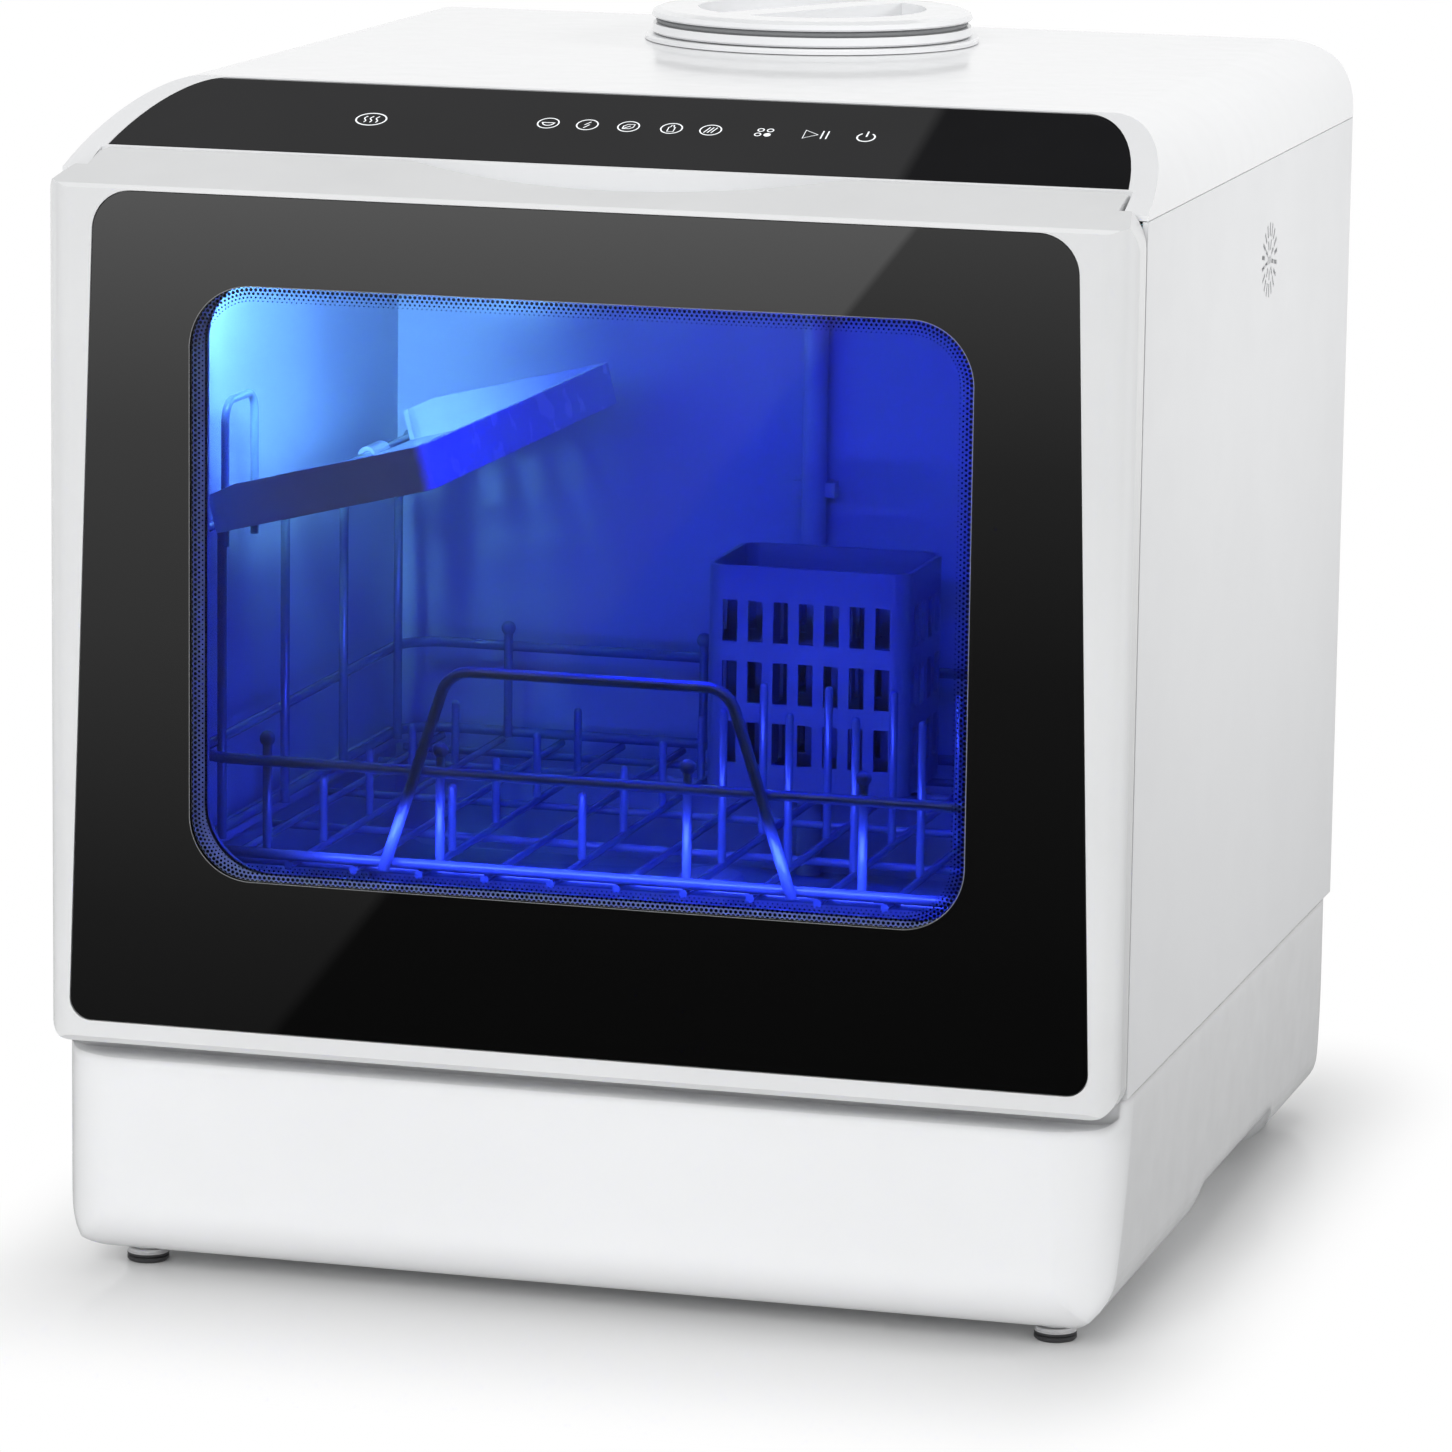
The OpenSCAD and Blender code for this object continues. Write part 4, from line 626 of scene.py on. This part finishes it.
def cloths(g, x, y):
    """What gloss mirrors in the floor: a pale and a deep cloth in front, parted by a slanted edge."""
    near, far = -0.5, -3.7
    begin, full = -0.30, -0.34
    slant, shift = -0.1562, 0.1608
    depth = g.span(y, 0.0, 1.0, near, far)
    pale = g.greys(depth, (0.0, 0.05), (0.1, 0.09), (0.33, 0.26), (0.56, 0.38), (1.0, 0.8))
    deep = g.greys(depth, (0.0, 0.015), (0.1, 0.022), (0.33, 0.06), (0.56, 0.14), (1.0, 0.4))
    edge = g.math("ADD", x, g.math("ADD", g.math("MULTIPLY", y, slant), shift))
    both = g.mix(g.span(edge, 0.0, 1.0, -EDGE_BLUR, EDGE_BLUR), pale, deep)
    round_about = g.greys(g.span(g.length(x, y), 0.0, 1.0, 0.2, 2.6), (0.0, 0.30), (0.25, 0.5), (1.0, 1.0))
    in_front = g.span(y, 1.0, 0.0, full, begin)
    return g.shader("ShaderNodeEmission", g.mix(in_front, round_about, both))


def floor_material():
    """Satin floor that turns to plain white further off, and to grey cloths in gloss."""
    g = Graph("floor")
    x, y, _ = g.xyz(g.add("ShaderNodeNewGeometry").outputs["Position"])
    path = g.add("ShaderNodeLightPath").outputs
    away = g.length(g.beyond(x, GREY_HALF, FADE_X), g.beyond(y, GREY_HALF, FADE_Y))
    far = g.span(away, 0.0, 1.0, 0.0, 1.0)
    far.node.interpolation_type = "SMOOTHSTEP"
    seen = g.math("ADD", path["Is Camera Ray"], path["Is Transmission Ray"], True)
    white = g.shader("ShaderNodeEmission")
    ground = g.blend(g.math("MULTIPLY", far, seen), satin(g), white)
    return g.show(g.blend(path["Is Glossy Ray"], ground, cloths(g, x, y)))


def card_material(name, bright, dark):
    """A two-tone card, bright on the -X side of its slanted edge."""
    g = Graph(name)
    x, y, _ = g.xyz(g.add("ShaderNodeNewGeometry").outputs["Position"])
    lean = g.math("MULTIPLY", g.math("SUBTRACT", y, CARD_EDGE_Y), CARD_LEAN)
    edge = CARD_EDGE_X - EDGE_BLUR, CARD_EDGE_X + EDGE_BLUR
    beside = g.span(g.math("SUBTRACT", x, lean), 0.0, 1.0, *edge)
    return g.show(g.shader("ShaderNodeEmission", g.greys(beside, (0.0, bright), (1.0, dark))))


def surroundings():
    """A world that lights softly and is plain white where it is seen."""
    world = bpy.data.worlds.new("studio")
    world.use_nodes = True
    bpy.context.scene.world = world
    n = Nodes(world.node_tree)
    n.tree.nodes.remove(n.tree.nodes["Background"])
    path = n.add("ShaderNodeLightPath").outputs
    direct = n.math("MAXIMUM", path["Is Camera Ray"], path["Is Glossy Ray"])
    seen = n.math("MAXIMUM", direct, path["Is Transmission Ray"])
    sky = n.shader("ShaderNodeBackground", Color=(0.99, 0.995, 1.0, 1), Strength=0.49)
    white = n.shader("ShaderNodeBackground", Color=(1, 1, 1, 1), Strength=1.0)
    n.link(n.blend(seen, sky, white), n.tree.nodes["World Output"].inputs["Surface"])


plane("floor", (-FLOOR_REACH, FLOOR_REACH), (-FLOOR_REACH, FLOOR_REACH), 0, floor_material())
card = plane("overhead_card", CARD_X, CARD_Y, CARD_Z, card_material("overhead_card", 0.36, 0.08))
card.visible_camera = card.visible_diffuse = card.visible_shadow = False
card.visible_transmission = card.visible_volume_scatter = False
surroundings()


# ---------------------------------------------------------------- lamps
def area(name, place, target, size, power, colour=(1, 1, 1), spread=180):
    """A rectangular lamp at place that points at target."""
    data = bpy.data.lights.new(name, "AREA")
    data.shape = "RECTANGLE"
    data.size, data.size_y = size
    data.energy, data.color, data.spread = power, colour, math.radians(spread)
    ob = bpy.data.objects.new(name, data)
    bpy.context.scene.collection.objects.link(ob)
    ob.location = place
    ob.rotation_euler = (Vector(target) - Vector(place)).to_track_quat("-Z", "Y").to_euler()
    return ob


def studio_lamps():
    """The room's lamps, which gloss doesn't mirror."""
    for lamp in (
        area("key_light", (-0.3, -3.4, 2.0), (0, 0, 0.2), (2.2, 1.6), 58),
        area("side_light", (1.9, 0.1, 1.0), (0.2, 0, 0.42), (0.5, 0.5), 0.56, spread=36),
        area("low_light", (-0.1, -1.9, 0.55), (0, -0.2, 0.02), (0.9, 0.25), 0.24, spread=36),
        area("top_light", (-0.1, 0.3, 2.7), (0, 0, 0.3), (2.0, 2.0), 11),
        area("back_light", (-1.0, 3.2, 1.9), (0, 0, 0.2), (1.8, 1.4), 22),
    ):
        lamp.visible_glossy = False


def machine_lamps():
    """The machine's own lamps, under the roof of its tub, and a faint one low behind the door."""
    blue, slate, cyan = (0.004, 0.012, 1.0), (0.05, 0.09, 1.0), (0.36, 0.88, 1.0)
    area("lamp_left", (-0.155, -0.11, 0.376), (-0.20, -0.04, 0.34), (0.04, 0.06), 1.2, cyan, 90)
    area("lamp_back", (-0.095, 0.12, 0.378), (-0.105, 0.19, 0.34), (0.09, 0.02), 0.9, cyan, 80)
    area("lamp_right", (0.112, -0.128, 0.381), (0.06, 0.04, 0.10), (0.05, 0.02), 0.5, blue)
    area("lamp_fill", (-0.05, -0.14, 0.378), (0.0, 0.06, 0.06), (0.20, 0.02), 1.1, blue)
    area("lamp_low", (0.0, -0.165, 0.17), (0.0, 0.10, 0.10), (0.24, 0.01), 0.55, slate, 150)


studio_lamps()
machine_lamps()


# ---------------------------------------------------------------- camera
CAMERA_PLACE = (0.7557, -2.7176, 0.7228)
YAW, PITCH, ROLL = (math.radians(a) for a in (15.55, -10.75, 0.78))
SENSOR_MM, LENS_MM = 36.0, 180.58


def camera():
    """The photograph's viewpoint."""
    level = Vector((math.cos(YAW), math.sin(YAW), 0))
    flat_ahead = Vector((-math.sin(YAW), math.cos(YAW), 0))
    ahead = flat_ahead * math.cos(PITCH) + Vector((0, 0, math.sin(PITCH)))
    right = level * math.cos(ROLL) + level.cross(ahead) * math.sin(ROLL)
    turn = Matrix((right, right.cross(ahead), -ahead)).transposed().to_4x4()
    data = bpy.data.cameras.new("camera")
    data.sensor_width, data.lens = SENSOR_MM, LENS_MM
    data.clip_start, data.clip_end = 0.1, 60
    ob = bpy.data.objects.new("camera", data)
    bpy.context.scene.collection.objects.link(ob)
    ob.matrix_world = Matrix.Translation(CAMERA_PLACE) @ turn
    bpy.context.scene.camera = ob


camera()
bpy.context.scene.view_settings.view_transform = "Standard"
